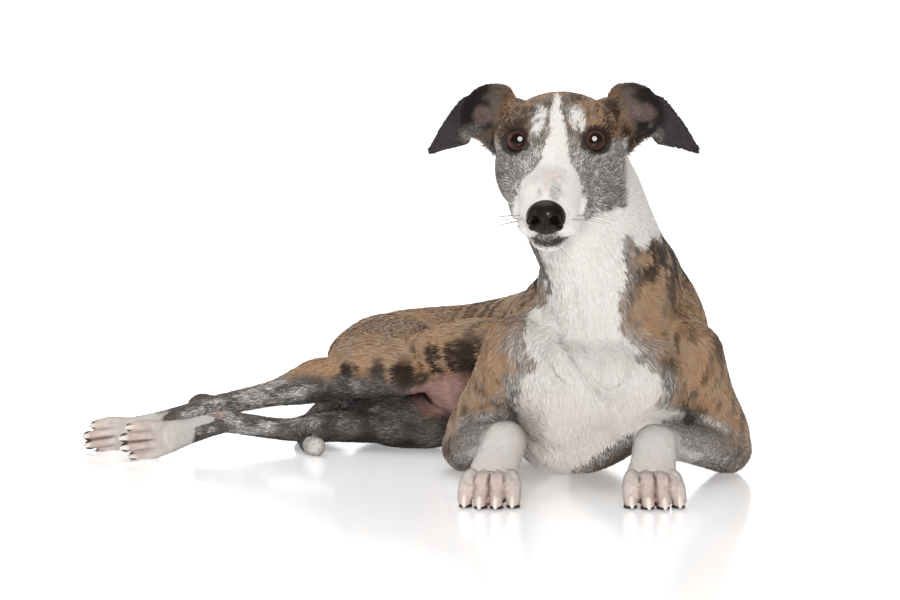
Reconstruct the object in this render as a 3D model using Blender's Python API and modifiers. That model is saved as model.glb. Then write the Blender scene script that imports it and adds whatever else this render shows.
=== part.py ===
# A greyhound that lies with its head up, chest to the front, hips rolled onto the left side
# and both hind legs stretched out to its right. Life size, in metres, +Z up, floor at z = 0.
# The flesh is blocked out from lofted limbs and muscle masses, skinned over as a closed form,
# and parted into named pieces with thin cuts.

import math

import bmesh
import bpy
import numpy as np
from mathutils import Matrix, Vector

# driving sizes
GAP = 0.0003  # what touching pieces keep between them
ROW_CENTRE = Vector((-0.0480, 0.0440, 0.0))  # plan centre of the finished model's box
BODY_VOXEL = 0.0032
HEAD_VOXEL = 0.0020
PAW_VOXEL = 0.0017

# head
EYES = Vector((0.0934, -0.225, 0.3218))  # midway between the eyes
HEAD_PITCH = math.radians(19.0)  # muzzle below the horizon
HEAD_YAW = math.radians(8.0)  # muzzle turned to the dog's right
EYE_RADIUS = 0.0121
EYE_PLACE = (0.0332, -0.0035, 0.0005)  # left, forward and up of EYES
EYE_OPENING = (0.0113, 0.0098)  # half width and half height between the lids
LID = 0.0019
NOSE_PLACE = (0.0, 0.1000, -0.0360)
NOSE_SIZE = (0.0172, 0.0125, 0.0150)
EAR_THICKNESS = 0.0030

# legs, one point for each joint
SHOULDERS = {"left": Vector((0.222, -0.122, 0.124)), "right": Vector((0.064, -0.122, 0.128))}
ELBOWS = {"left": Vector((0.274, -0.012, 0.0240)), "right": Vector((0.016, 0.002, 0.0240))}
WRISTS = {"left": Vector((0.186, -0.195, 0.050)), "right": Vector((0.050, -0.190, 0.051))}
FORE_KNUCKLES = {"left": Vector((0.1785, -0.236, 0.0235)), "right": Vector((0.0375, -0.232, 0.0235))}
HIPS = {"left": Vector((-0.060, 0.322, 0.043)), "right": Vector((-0.062, 0.316, 0.104))}
KNEES = {"left": Vector((-0.004, 0.190, 0.0265)), "right": Vector((-0.030, 0.165, 0.086))}
HOCKS = {"left": Vector((-0.243, 0.184, 0.030)), "right": Vector((-0.258, 0.240, 0.0415))}
HIND_KNUCKLES = {"left": Vector((-0.294, 0.118, 0.0205)), "right": Vector((-0.336, 0.182, 0.0185))}
TAIL_RADIUS = 0.0102

COLOURS = {
    "brindle": (0.20, 0.125, 0.075, 1.0),
    "dark brindle": (0.12, 0.085, 0.065, 1.0),
    "white": (0.80, 0.77, 0.72, 1.0),
    "roan": (0.30, 0.28, 0.27, 1.0),
    "charcoal": (0.055, 0.045, 0.045, 1.0),
    "nose": (0.012, 0.010, 0.010, 1.0),
    "iris": (0.16, 0.045, 0.02, 1.0),
}


# scene and objects


def clear_scene():
    for thing in list(bpy.data.objects):
        bpy.data.objects.remove(thing)


def new_collection(name, hidden=False):
    collection = bpy.data.collections.new(name)
    collection.hide_render = hidden
    bpy.context.scene.collection.children.link(collection)
    return collection


def object_from(mesh, name, collection):
    bmesh.ops.recalc_face_normals(mesh, faces=mesh.faces)
    data = bpy.data.meshes.new(name)
    mesh.to_mesh(data)
    mesh.free()
    made = bpy.data.objects.new(name, data)
    if collection.hide_render:
        made.hide_render = True
        made.display_type = "WIRE"
    collection.objects.link(made)
    return made


def bake(thing):
    """Replaces an object's mesh by what its modifiers make of it."""
    graph = bpy.context.evaluated_depsgraph_get()
    done = bpy.data.meshes.new_from_object(thing.evaluated_get(graph))
    thing.modifiers.clear()
    thing.data = done


def cut_away(thing, cutter, solver="MANIFOLD", operation="DIFFERENCE"):
    boolean = thing.modifiers.new("cut", "BOOLEAN")
    boolean.operation = operation
    boolean.solver = solver
    boolean.object = cutter
    bake(thing)


def skin_over(thing, voxel, smoothing, triangles):
    """One closed skin over all the masses, blended, with about this many triangles."""
    remesh = thing.modifiers.new("skin over all", "REMESH")
    remesh.mode = "VOXEL"
    remesh.voxel_size = voxel
    blend = thing.modifiers.new("blend the masses", "SMOOTH")
    blend.factor = 0.5
    blend.iterations = smoothing
    bake(thing)
    decimate = thing.modifiers.new("fewer faces", "DECIMATE")
    decimate.ratio = triangles / (2 * len(thing.data.polygons))
    bake(thing)


def inflated(thing, amount, collection):
    """A copy whose surface stands this far out, to cut a seat with."""
    copy = thing.copy()
    copy.data = thing.data.copy()
    collection.objects.link(copy)
    grow = copy.modifiers.new("room", "DISPLACE")
    grow.strength = amount
    grow.mid_level = 0.0
    bake(copy)
    copy.hide_render = True
    copy.display_type = "WIRE"
    return copy


def islands(mesh):
    """The faces of each closed surface in the mesh."""
    found, seen = [], set()
    for face in mesh.faces:
        if face in seen:
            continue
        island, rim = [], [face]
        seen.add(face)
        while rim:
            this = rim.pop()
            island.append(this)
            for edge in this.edges:
                for other in edge.link_faces:
                    if other not in seen:
                        seen.add(other)
                        rim.append(other)
        found.append(island)
    return found


def volume_of(faces):
    total = 0.0
    for face in faces:
        first = face.verts[0].co
        for one, two in zip(face.verts[1:], face.verts[2:]):
            total += first.dot(one.co.cross(two.co)) / 6
    return total


def middle_of(faces):
    corners = [vert.co for face in faces for vert in face.verts]
    return sum(corners, Vector()) / len(corners)


# lofts and masses


def smooth_rows(rows, steps):
    """Catmull-Rom curve through the rows, with this many steps between neighbours."""
    rows = np.array(rows, float)
    padded = np.vstack([2 * rows[0] - rows[1], rows, 2 * rows[-1] - rows[-2]])
    dense = []
    for index in range(1, len(padded) - 2):
        a, b, c, d = padded[index - 1 : index + 3]
        for t in np.arange(steps) / steps:
            bend = (2 * a - 5 * b + 4 * c - d) * t**2 + (3 * b - a - 3 * c + d) * t**3
            dense.append(0.5 * (2 * b + (c - a) * t + bend))
    dense.append(rows[-1])
    return np.array(dense)


def ring_frames(rows, ups):
    """Length, side and up directions of each ring, square to the line through the rows."""
    along = np.gradient(rows[:, :3], axis=0)
    along /= np.linalg.norm(along, axis=1)[:, None]
    side = np.cross(along, ups)
    side /= np.linalg.norm(side, axis=1)[:, None]
    return along, side, np.cross(side, along)


def loft(mesh, rows, ups, points=24, steps=4, keel=0.0):
    """A closed tube with domed ends. A row is x, y, z, half side, half top, half bottom.
    keel pinches the lower half towards its middle line."""
    ups = [ups] * len(rows) if isinstance(ups, Vector) else ups
    rows = smooth_rows([list(row) + list(up) for row, up in zip(rows, ups)], steps)
    along, side, up = ring_frames(rows, rows[:, 6:9])
    rings = []

    def ring(index, share, shift):
        centre = rows[index, :3] + along[index] * shift
        half_side, top, bottom = rows[index, 3:6] * share
        made = []
        for turn in np.linspace(0, 2 * math.pi, points, endpoint=False):
            height = math.sin(turn)
            pinch = 1 - keel * max(0.0, -height) ** 2
            reach = top if height > 0 else bottom
            place = centre + side[index] * half_side * math.cos(turn) * pinch + up[index] * reach * height
            made.append(mesh.verts.new(place))
        rings.append(made)

    dome = (math.radians(65), math.radians(35))
    first_reach, last_reach = rows[0, 3:6].min(), rows[-1, 3:6].min()
    for angle in dome:
        ring(0, math.cos(angle), -first_reach * math.sin(angle))
    for index in range(len(rows)):
        ring(index, 1.0, 0.0)
    for angle in reversed(dome):
        ring(-1, math.cos(angle), last_reach * math.sin(angle))
    start = mesh.verts.new(rows[0, :3] - along[0] * first_reach)
    end = mesh.verts.new(rows[-1, :3] + along[-1] * last_reach)
    for near, far in zip(rings, rings[1:]):
        for index in range(points):
            after = (index + 1) % points
            mesh.faces.new((near[index], near[after], far[after], far[index]))
    for index in range(points):
        after = (index + 1) % points
        mesh.faces.new((start, rings[0][after], rings[0][index]))
        mesh.faces.new((end, rings[-1][index], rings[-1][after]))


def mass(mesh, centre, radii, axes=None, segments=24):
    """A muscle or bone mass: an ellipsoid with the given radii along the three axes."""
    axes = axes or Matrix.Identity(3)
    matrix = Matrix.Translation(centre) @ axes.to_4x4() @ Matrix.Diagonal((*radii, 1.0))
    rings = segments // 2 + 2
    bmesh.ops.create_uvsphere(mesh, u_segments=segments, v_segments=rings, radius=1.0, matrix=matrix)


def axes_along(forward, up):
    """Columns: side, forward and up directions."""
    forward = forward.normalized()
    side = forward.cross(up).normalized()
    return Matrix((side, forward, side.cross(forward))).transposed()


def muscle(mesh, start, end, width, depth, up=Vector((0, 0, 1)), spare=0.12):
    """An ellipsoid stretched from start to end, a little longer at both ends."""
    length = (end - start).length * (0.5 + spare)
    mass(mesh, (start + end) / 2, (width, length, depth), axes_along(end - start, up))


# trunk, neck and legs


def trunk(mesh):
    rows = (
        (0.138, -0.138, 0.106, 0.056, 0.048, 0.050),
        (0.143, -0.115, 0.112, 0.080, 0.078, 0.086),
        (0.150, -0.045, 0.120, 0.088, 0.104, 0.1225),
        (0.155, 0.040, 0.124, 0.088, 0.112, 0.1290),
        (0.152, 0.135, 0.118, 0.086, 0.095, 0.1200),
        (0.130, 0.220, 0.106, 0.082, 0.073, 0.1060),
        (0.086, 0.290, 0.094, 0.076, 0.060, 0.0900),
        (0.034, 0.332, 0.084, 0.068, 0.062, 0.066),
        (-0.018, 0.346, 0.080, 0.066, 0.060, 0.062),
        (-0.064, 0.344, 0.076, 0.062, 0.058, 0.060),
        (-0.090, 0.330, 0.066, 0.042, 0.038, 0.044),
        (-0.108, 0.324, 0.060, 0.025, 0.024, 0.029),
    )
    rolls = (
        (0.22, 0.0, 0.97),
        (0.26, 0.0, 0.96),
        (0.27, 0.0, 0.96),
        (0.28, 0.0, 0.95),
        (0.34, 0.08, 0.93),
        (0.38, 0.28, 0.87),
        (0.32, 0.56, 0.74),
        (0.15, 0.80, 0.55),
        (0.0, 0.90, 0.42),
        (-0.1, 0.93, 0.34),
        (-0.1, 0.93, 0.34),
        (-0.1, 0.93, 0.34),
    )
    loft(mesh, rows, [Vector(roll) for roll in rolls], points=32, keel=0.25)
    mass(mesh, Vector((0.106, -0.045, 0.050)), (0.045, 0.060, 0.048))
    mass(mesh, Vector((0.120, -0.086, 0.064)), (0.056, 0.058, 0.056))
    flank = (Vector((-0.040, 0.180, 0.102)), Vector((0.080, 0.140, 0.118)))
    muscle(mesh, *flank, 0.036, 0.032)
    mass(mesh, Vector((0.036, 0.168, 0.068)), (0.062, 0.050, 0.034))


def neck(mesh):
    """Drawn between the neck's back line, nape to withers, and its front line, throat to
    breastbone."""
    back = (
        (0.112, -0.146, 0.350),
        (0.131, -0.105, 0.314),
        (0.154, -0.062, 0.272),
        (0.167, -0.015, 0.238),
        (0.176, 0.030, 0.222),
    )
    front = (
        (0.101, -0.198, 0.268),
        (0.107, -0.189, 0.228),
        (0.122, -0.180, 0.185),
        (0.129, -0.170, 0.140),
        (0.139, -0.160, 0.095),
    )
    half_widths = (0.049, 0.056, 0.0555, 0.066, 0.072)
    rows, ups = [], []
    for nape, throat, half in zip(back, front, half_widths):
        nape, throat = Vector(nape), Vector(throat)
        reach = (nape - throat).length / 2
        rows.append((*nape.lerp(throat, 0.5), half, reach, reach))
        ups.append((nape - throat).normalized())
    loft(mesh, rows, ups, points=28)


def shoulder(mesh, side):
    """Shoulder blade, upper arm, and the muscle behind them."""
    out = 1 if side == "left" else -1
    joint, elbow = SHOULDERS[side], ELBOWS[side]
    outward = Vector((out, 0, 0.3))
    blade_top = Vector((0.170 + 0.024 * out, 0.015, 0.202))
    blade_back = Vector((0.160 + 0.066 * out, 0.055, 0.144))
    muscle(mesh, blade_top, joint, 0.042, 0.034, up=outward)
    muscle(mesh, blade_back, elbow, 0.044, 0.025, up=outward, spare=0.06)
    mass(mesh, Vector((0.140 + 0.036 * out, -0.120, 0.098)), (0.052, 0.059, 0.062))
    mass(mesh, Vector((0.127 + 0.0215 * out, -0.162, 0.117)), (0.024, 0.026, 0.025))
    rows = (
        (*joint, 0.036, 0.034, 0.034),
        (*joint.lerp(elbow, 0.4), 0.032, 0.028, 0.029),
        (*joint.lerp(elbow, 0.8), 0.030, 0.028, 0.028),
        (*elbow, 0.023, 0.023, 0.024),
    )
    loft(mesh, rows, outward)


def forearm(mesh, side):
    elbow, wrist, knuckle = ELBOWS[side], WRISTS[side], FORE_KNUCKLES[side]
    mass(mesh, elbow + Vector((0, 0.016, -0.004)), (0.018, 0.022, 0.020))
    rows = (
        (*elbow, 0.025, 0.026, 0.026),
        (*elbow.lerp(wrist, 0.25), 0.027, 0.026, 0.022),
        (*elbow.lerp(wrist, 0.6), 0.021, 0.020, 0.017),
        (*elbow.lerp(wrist, 0.88), 0.0195, 0.0165, 0.015),
        (*wrist, 0.0215, 0.0180, 0.017),
        (*wrist.lerp(knuckle, 0.5), 0.0215, 0.0150, 0.015),
        (*knuckle, 0.0225, 0.0125, 0.013),
    )
    loft(mesh, rows, Vector((0, -0.35, 1)), steps=5)


def hind_leg(mesh, side):
    """Thigh and shank. The leg lies on its side, so its up direction is its thickness."""
    hip, knee, hock = HIPS[side], KNEES[side], HOCKS[side]
    up = Vector((0, 0, 1))
    back = Vector((0, 1, 0))
    lower = side == "left"
    sag = up * (-0.0080 if lower else 0.0)
    rows = (
        (*(hip + Vector((-0.002, 0.008, 0))), 0.058, 0.036, 0.040),
        (*(hip.lerp(knee, 0.42) + Vector((-0.020, 0, 0))), 0.066, 0.035, 0.036),
        (*(hip.lerp(knee, 0.80) + Vector((-0.026, 0, 0))), 0.058, 0.032, 0.033),
        (*(knee + Vector((-0.014, 0.004, 0))), 0.040, 0.027, 0.027),
    )
    loft(mesh, rows, up)
    line = hock - knee
    tops = (0.0205, 0.0205, 0.0165, 0.0120) if lower else (0.0285, 0.0320, 0.0250, 0.0165)
    rows = (
        (*(knee + back * 0.004), 0.030, 0.025, 0.024),
        (*(knee + line * 0.22 + back * 0.012 + sag * 0.3), 0.040, tops[0], 0.0205),
        (*(knee + line * 0.48 + back * 0.013 + sag * 0.6), 0.031, tops[1], 0.0170),
        (*(knee + line * 0.60 + back * 0.010 + sag * 0.8), 0.025, tops[2], 0.0150),
        (*(knee + line * 0.73 + back * 0.006 + sag), 0.0185, tops[3], 0.0120),
        (*(knee + line * 0.97 + back * 0.004 + sag * 0.1), 0.0195, 0.0122, 0.0122),
    )
    loft(mesh, rows, up)


def hind_pastern(mesh, side):
    """Hock, point of the hock and the bones down to the knuckle."""
    hock, knuckle = HOCKS[side], HIND_KNUCKLES[side]
    mass(mesh, hock + Vector((0.008, 0.012, 0.002)), (0.014, 0.012, 0.0115))
    if side == "right":
        mass(mesh, hock + Vector((-0.012, 0.004, 0.002)), (0.018, 0.012, 0.0125))
    rows = (
        (*hock, 0.0200, 0.0125, 0.0125),
        (*hock.lerp(knuckle, 0.25), 0.0165, 0.0125, 0.0125),
        (*hock.lerp(knuckle, 0.65), 0.0125, 0.0145, 0.0145),
        (*knuckle, 0.0125, 0.0175, 0.0175),
    )
    loft(mesh, rows, Vector((0, 0, 1)))


def body_flesh(mesh):
    trunk(mesh)
    neck(mesh)
    head_flesh(mesh)
    for side in ("left", "right"):
        shoulder(mesh, side)
        forearm(mesh, side)
        hind_leg(mesh, side)
        hind_pastern(mesh, side)


# paws


def paw_axes(name):
    """Side, forward and up (the back of the paw) directions of each paw."""
    if name == "forepaw_left":
        return axes_along(Vector((0.02, -1.0, 0.0)), Vector((0, 0, 1)))
    if name == "forepaw_right":
        return axes_along(Vector((-0.10, -1.0, 0.0)), Vector((0, 0, 1)))
    if name == "hindfoot_left":
        return axes_along(Vector((-0.66, -0.75, -0.02)), Vector((0.55, -0.60, 0.10)))
    return axes_along(Vector((-0.93, -0.36, -0.12)), Vector((0.25, -0.90, 0.12)))


def paw(mesh, axes, knuckle, length, pitch, girth, drop):
    """Four arched toes with claws and pads, from the knuckle to the tips. drop is how far
    the toe tips lie below the knuckle, on the sole's side."""

    def place(side, forward, up):
        return knuckle + axes @ Vector((side, forward, up))

    lift = axes @ Vector((0, 0, 1))
    for number in range(4):
        side = (number - 1.5) * pitch
        inner = number in (1, 2)
        reach = length * (1.0 if inner else 0.80)
        spread = side * 1.12
        rows = (
            (*place(side * 0.72, -0.010, -0.002), girth, girth, girth),
            (*place(side * 0.95, reach * 0.30, 0.0015), girth, girth, girth),
            (*place(spread, reach * 0.62, -drop * 0.28), girth * 1.02, girth, girth),
            (*place(spread, reach * 0.88, -drop * 0.62), girth, girth * 0.9, girth),
            (*place(spread, reach, -drop * 0.80), girth * 0.72, girth * 0.6, girth * 0.6),
        )
        loft(mesh, rows, lift, points=14, steps=3)
        pad = place(spread, reach * 0.84, -drop * 0.80)
        mass(mesh, pad, (girth * 0.84, girth * 1.2, girth * 0.75), axes, 14)
        root = place(spread, reach * 0.98, -drop * 0.62)
        tip = place(spread, reach + girth * 1.45, -drop * 0.93)
        claw = (
            (*root, 0.0026, 0.0030, 0.0026),
            (*(root.lerp(tip, 0.55) + lift * 0.0012), 0.0021, 0.0024, 0.0022),
            (*root.lerp(tip, 0.95), 0.0011, 0.0011, 0.0011),
        )
        loft(mesh, claw, lift, points=10, steps=3)
    mass(mesh, place(0, 0.012, -drop * 0.62), (pitch * 1.35, 0.0125, drop * 0.42), axes, 18)
    mass(mesh, place(0, 0.010, -0.004), (pitch * 1.55, 0.016, girth * 1.35), axes, 18)


def paw_flesh(mesh, name):
    side = "left" if name.endswith("left") else "right"
    axes = paw_axes(name)
    if name.startswith("forepaw"):
        forearm(mesh, side)
        paw(mesh, axes, FORE_KNUCKLES[side], 0.047, 0.0125, 0.0068, 0.0235)
    else:
        hind_pastern(mesh, side)
        paw(mesh, axes, HIND_KNUCKLES[side], 0.050, 0.0088, 0.0062, 0.012)


# head


def head_axes():
    """Columns: the head's left, forward and up directions."""
    cos_pitch, sin_pitch = math.cos(HEAD_PITCH), math.sin(HEAD_PITCH)
    forward = Vector((-math.sin(HEAD_YAW) * cos_pitch, -math.cos(HEAD_YAW) * cos_pitch, -sin_pitch))
    left = Vector((math.cos(HEAD_YAW), -math.sin(HEAD_YAW), 0.0))
    return Matrix((left, forward, left.cross(forward) * -1)).transposed()


HEAD_AXES = head_axes()


def head_point(left, forward, up):
    """A point given in the head's own directions, measured from between the eyes."""
    return EYES + HEAD_AXES @ Vector((left, forward, up))


def head_mass(mesh, place, radii, both=True):
    """A mass placed in the head's directions, on both sides of it unless told otherwise."""
    for side in (1, -1) if both else (1,):
        mass(mesh, head_point(place[0] * side, place[1], place[2]), radii, HEAD_AXES)


def head_loft(mesh, rows, points=28):
    """A loft along the head. A row is forward, up, half width, half top, half bottom."""
    placed = [(*head_point(0, forward, up), *sizes) for forward, up, *sizes in rows]
    loft(mesh, placed, HEAD_AXES @ Vector((0, 0, 1)), points=points)


def head_flesh(mesh):
    upper = (
        (-0.085, -0.004, 0.032, 0.022, 0.040),
        (-0.060, -0.004, 0.048, 0.031, 0.050),
        (-0.030, -0.006, 0.053, 0.031, 0.056),
        (0.000, -0.014, 0.047, 0.029, 0.050),
        (0.022, -0.022, 0.037, 0.026, 0.040),
        (0.045, -0.029, 0.0300, 0.0250, 0.030),
        (0.070, -0.035, 0.0268, 0.0240, 0.024),
        (0.084, -0.0375, 0.0238, 0.0215, 0.0185),
        (0.090, -0.0385, 0.0190, 0.0180, 0.0150),
    )
    head_loft(mesh, upper)
    jaw = (
        (-0.030, -0.046, 0.036, 0.022, 0.026),
        (0.000, -0.050, 0.031, 0.020, 0.022),
        (0.030, -0.054, 0.0240, 0.0160, 0.0165),
        (0.060, -0.0600, 0.0190, 0.0120, 0.0115),
        (0.082, -0.0635, 0.0165, 0.0105, 0.0092),
        (0.088, -0.0630, 0.0130, 0.0090, 0.0085),
    )
    head_loft(mesh, jaw)
    head_mass(mesh, (0.0375, -0.030, -0.006), (0.0200, 0.040, 0.024))
    head_mass(mesh, (0.0365, -0.042, -0.038), (0.0230, 0.040, 0.036))
    head_mass(mesh, (0.0290, -0.010, 0.0105), (0.0190, 0.0165, 0.0095))
    head_mass(mesh, (0.0400, -0.058, 0.008), (0.0130, 0.018, 0.013))
    head_mass(mesh, (0.0260, -0.035, 0.0040), (0.0240, 0.036, 0.0205))
    head_mass(mesh, (0.0265, 0.040, -0.040), (0.0125, 0.032, 0.018))
    head_mass(mesh, (0.0185, 0.072, -0.050), (0.0095, 0.022, 0.0095))


def eye_centre(side):
    return head_point(EYE_PLACE[0] * side, EYE_PLACE[1], EYE_PLACE[2])


def eye_axes(side):
    """Across, outward and up directions of the opening between the lids."""
    outward = HEAD_AXES @ Vector((0.22 * side + 0.08, 0.93, 0.20))
    return axes_along(outward, HEAD_AXES @ Vector((0, 0, 1)))


def ball(name, centre, radii, axes, collection, segments=24):
    mesh = bmesh.new()
    mass(mesh, centre, radii, axes, segments)
    return object_from(mesh, name, collection)


def eye_sockets(head, cutters):
    """Lids that wrap each eyeball, the seat for it and the almond opening."""
    across, high = EYE_OPENING
    for side in (1, -1):
        lid = EYE_RADIUS + LID
        wrap = ball("lid", eye_centre(side), (lid, lid, lid), eye_axes(side), cutters, 20)
        cut_away(head, wrap, operation="UNION")
    for side in (1, -1):
        centre, axes = eye_centre(side), eye_axes(side)
        seat = EYE_RADIUS + GAP
        cut_away(head, ball("eye seat", centre, (seat, seat, seat), axes, cutters, 16))
        mesh = bmesh.new()
        turned = axes @ Matrix.Rotation(math.radians(-90), 3, "X")
        place = Matrix.Translation(centre + axes.col[1] * 0.0185) @ turned.to_4x4()
        matrix = place @ Matrix.Diagonal((1, high / across, 1, 1))
        sizes = {"radius1": across, "radius2": across * 1.12, "depth": 0.030}
        bmesh.ops.create_cone(mesh, cap_ends=True, segments=20, matrix=matrix, **sizes)
        cut_away(head, object_from(mesh, "lid opening", cutters))


def mouth_line(head, cutters):
    """The groove between the lips, from one corner round the muzzle to the other."""
    half = (
        (0.0335, 0.022, -0.0500),
        (0.0290, 0.040, -0.0530),
        (0.0245, 0.062, -0.0565),
        (0.0210, 0.080, -0.0600),
        (0.0155, 0.0925, -0.0620),
        (0.0075, 0.0985, -0.0625),
    )
    way = list(half) + [(0.0, 0.1000, -0.0625)]
    way += [(-side, forward, up) for side, forward, up in reversed(half)]
    mesh = bmesh.new()
    rows = [(*head_point(*place), 0.0022, 0.0010, 0.0010) for place in way]
    loft(mesh, rows, HEAD_AXES @ Vector((0, 0, 1)), points=10, steps=3)
    cut_away(head, object_from(mesh, "mouth line", cutters))


def nose_pad(collection, cutters, grow=0.0, name="nose"):
    """The bare nose: a rounded pad with a nostril and its side slit on each side."""
    mesh = bmesh.new()
    mass(mesh, head_point(*NOSE_PLACE), [size + grow for size in NOSE_SIZE], HEAD_AXES, 16)
    pad = object_from(mesh, name, collection)
    if grow:
        return pad
    left, forward, up = NOSE_PLACE
    for side in (1, -1):
        hole = head_point(0.0085 * side, forward + 0.0135, up - 0.0030)
        cut_away(pad, ball("nostril", hole, (0.0034, 0.0100, 0.0036), HEAD_AXES, cutters, 10))
        slit = head_point(0.0135 * side, forward + 0.0095, up - 0.0055)
        cut_away(pad, ball("nostril slit", slit, (0.0055, 0.0085, 0.0014), HEAD_AXES, cutters, 8))
    return pad


def ear_place(side, out, up, forward):
    """A point of the ear: outward, upward and towards the front from the middle of its root."""
    turn = Matrix.Rotation(-HEAD_YAW, 3, "Z")
    root = EYES + turn @ Vector((0.0565 * side, 0.053, 0.0175))
    reach = 0.96 if side > 0 else 0.91
    return root + turn @ Vector((out * side * reach, -forward, up * 0.96))


def ear(name, side, collection):
    """A cup open to the front whose upper end folds outward and hangs to the tip. Each row is
    the top edge, the bottom edge, and how the middle bows away from the line between them."""
    rows = (
        ((-0.0205, 0.0160, -0.012), (-0.004, -0.034, -0.008), (0.002, 0, -0.008)),
        ((-0.0130, 0.0300, -0.007), (0.005, -0.030, 0.001), (0.002, 0, -0.014)),
        ((-0.0060, 0.0360, -0.004), (0.013, -0.0225, 0.006), (0.002, 0, -0.020)),
        ((0.0085, 0.0372, -0.002), (0.019, -0.0165, 0.008), (0.002, 0, -0.022)),
        ((0.0210, 0.0335, 0.0), (0.0235, -0.0145, 0.008), (0.006, 0, -0.015)),
        ((0.029, 0.0275, 0.001), (0.0265, -0.0135, 0.005), (0.0105, -0.002, 0.001)),
        ((0.037, 0.0235, 0.001), (0.0310, -0.0195, 0.0), (0.0075, 0, 0.003)),
        ((0.0465, 0.014, 0.0), (0.0410, -0.0220, -0.002), (0.003, 0, 0.003)),
        ((0.0565, 0.001, 0.0), (0.0540, -0.0248, -0.002), (0.001, 0, 0.002)),
        ((0.0655, -0.0133, -0.001), (0.0632, -0.0277, -0.002), (0, 0, 0.001)),
        ((0.0728, -0.0235, -0.001), (0.0710, -0.0300, -0.002), (0, 0, 0)),
    )
    flat = [[value for point in row for value in point] for row in rows]
    mesh = bmesh.new()
    grid = []
    for row in smooth_rows(flat, 3):
        top, bottom, bow = Vector(row[:3]), Vector(row[3:6]), Vector(row[6:9])
        line = []
        for share in np.linspace(0, 1, 10):
            place = top.lerp(bottom, share) + bow * math.sin(math.pi * share) ** 0.8
            line.append(mesh.verts.new(ear_place(side, *place)))
        grid.append(line)
    for near, far in zip(grid, grid[1:]):
        for index in range(len(near) - 1):
            mesh.faces.new((near[index], near[index + 1], far[index + 1], far[index]))
    data = bpy.data.meshes.new(name)
    mesh.to_mesh(data)
    mesh.free()
    made = bpy.data.objects.new(name, data)
    collection.objects.link(made)
    thick = made.modifiers.new("leather", "SOLIDIFY")
    thick.thickness = EAR_THICKNESS
    thick.offset = 0
    skin_over(made, 0.0012, 3, 620)
    return made


# tail


def tail_rows(grow=0.0):
    way = (
        (-0.092, 0.340, 0.056),
        (-0.118, 0.354, 0.042),
        (-0.143, 0.350, 0.025),
        (-0.158, 0.325, 0.0125),
        (-0.163, 0.285, 0.0096),
        (-0.160, 0.240, 0.0086),
        (-0.155, 0.198, 0.0082),
        (-0.150, 0.160, 0.0092),
        (-0.1405, 0.1245, 0.0098),
    )
    thick = (1.9, 1.65, 1.38, 1.15, 0.98, 0.86, 0.80, 0.90, 0.97)
    return [(*place, *[TAIL_RADIUS * share + grow] * 3) for place, share in zip(way, thick)]


def tail(name, collection, grow=0.0):
    mesh = bmesh.new()
    loft(mesh, tail_rows(grow), Vector((0, 0, 1)), points=12, steps=3)
    return object_from(mesh, name, collection)


def block(name, centre, axes, sizes, cutters):
    mesh = bmesh.new()
    matrix = Matrix.Translation(centre) @ axes.to_4x4() @ Matrix.Diagonal((*sizes, 1.0))
    bmesh.ops.create_cube(mesh, size=1.0, matrix=matrix)
    return object_from(mesh, name, cutters)


def span_block(name, low, high, cutters, grow=0.0):
    low, high = Vector(low), Vector(high)
    sizes = [size + grow for size in high - low]
    return block(name, (low + high) / 2, Matrix.Identity(3), sizes, cutters)


def beyond(name, place, facing, sizes, cutters, grow=0.0):
    """A block that starts at a place and reaches out in the facing direction."""
    axes = axes_along(facing, Vector((0.01, 0, 1)) if abs(facing.normalized().z) < 0.9 else Vector((0, 1, 0)))
    wide, long, high = sizes
    centre = place + axes.col[1] * long / 2
    return block(name, centre, axes, (wide + grow, long + grow, high + grow), cutters)


def forearm_room(side, cutters, grow):
    elbow, wrist = ELBOWS[side], WRISTS[side]
    place = elbow.lerp(wrist, 0.28)
    return beyond("forearm room", place, wrist - elbow, (0.054, 0.24, 0.047), cutters, grow)


def paw_room(name, cutters, grow):
    side = "left" if name.endswith("left") else "right"
    start, knuckle, share, size = HOCKS[side], HIND_KNUCKLES[side], 0.55, 0.07
    if name.startswith("forepaw"):
        start, knuckle, share, size = WRISTS[side], FORE_KNUCKLES[side], 0.50, 0.09
    return beyond("paw room", start.lerp(knuckle, share), knuckle - start, (size, 0.13, size), cutters, grow)


def head_room(cutters, grow):
    place, facing = Vector((0.1055, -0.152, 0.292)), Vector((-0.10, -0.66, 0.74))
    return beyond("head room", place, facing, (0.3, 0.3, 0.4), cutters, grow)


PAWS = ("forepaw_left", "forepaw_right", "hindfoot_left", "hindfoot_right")


def rooms(cutters, grow):
    """The space of each piece that is parted from the body, in the order of cutting."""
    yield head_room(cutters, grow)
    for name in PAWS:
        yield paw_room(name, cutters, grow)
    for side in ("left", "right"):
        yield forearm_room(side, cutters, grow)
    yield span_block("upper arm room", (0.217, -0.30, -0.1), (0.40, 0.105, 0.225), cutters, grow)
    yield span_block("upper arm room", (-0.10, -0.30, -0.1), (0.077, 0.105, 0.225), cutters, grow)
    neck_base = Vector((0.137, -0.085, 0.190))
    yield beyond("neck room", neck_base, Vector((-0.10, -0.42, 0.90)), (0.6, 0.4, 0.6), cutters, grow)
    shanks = span_block("shank room", (-0.42, -0.05, -0.1), (-0.085, 0.2495, 0.1010), cutters, grow)
    hocks = span_block("hock room", (-0.42, -0.05, -0.1), (-0.165, 0.31, 0.2), cutters, grow)
    cut_away(shanks, hocks, operation="UNION")
    yield shanks
    yield span_block("thigh room", (-0.16, 0.02, 0.0570), (0.046, 0.292, 0.3), cutters, grow)
    yield span_block("thigh room", (-0.16, 0.02, -0.1), (0.046, 0.292, 0.0570), cutters, grow)
    yield span_block("loin room", (-0.2, 0.150, -0.1), (0.4, 0.6, 0.4), cutters, grow)


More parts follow.
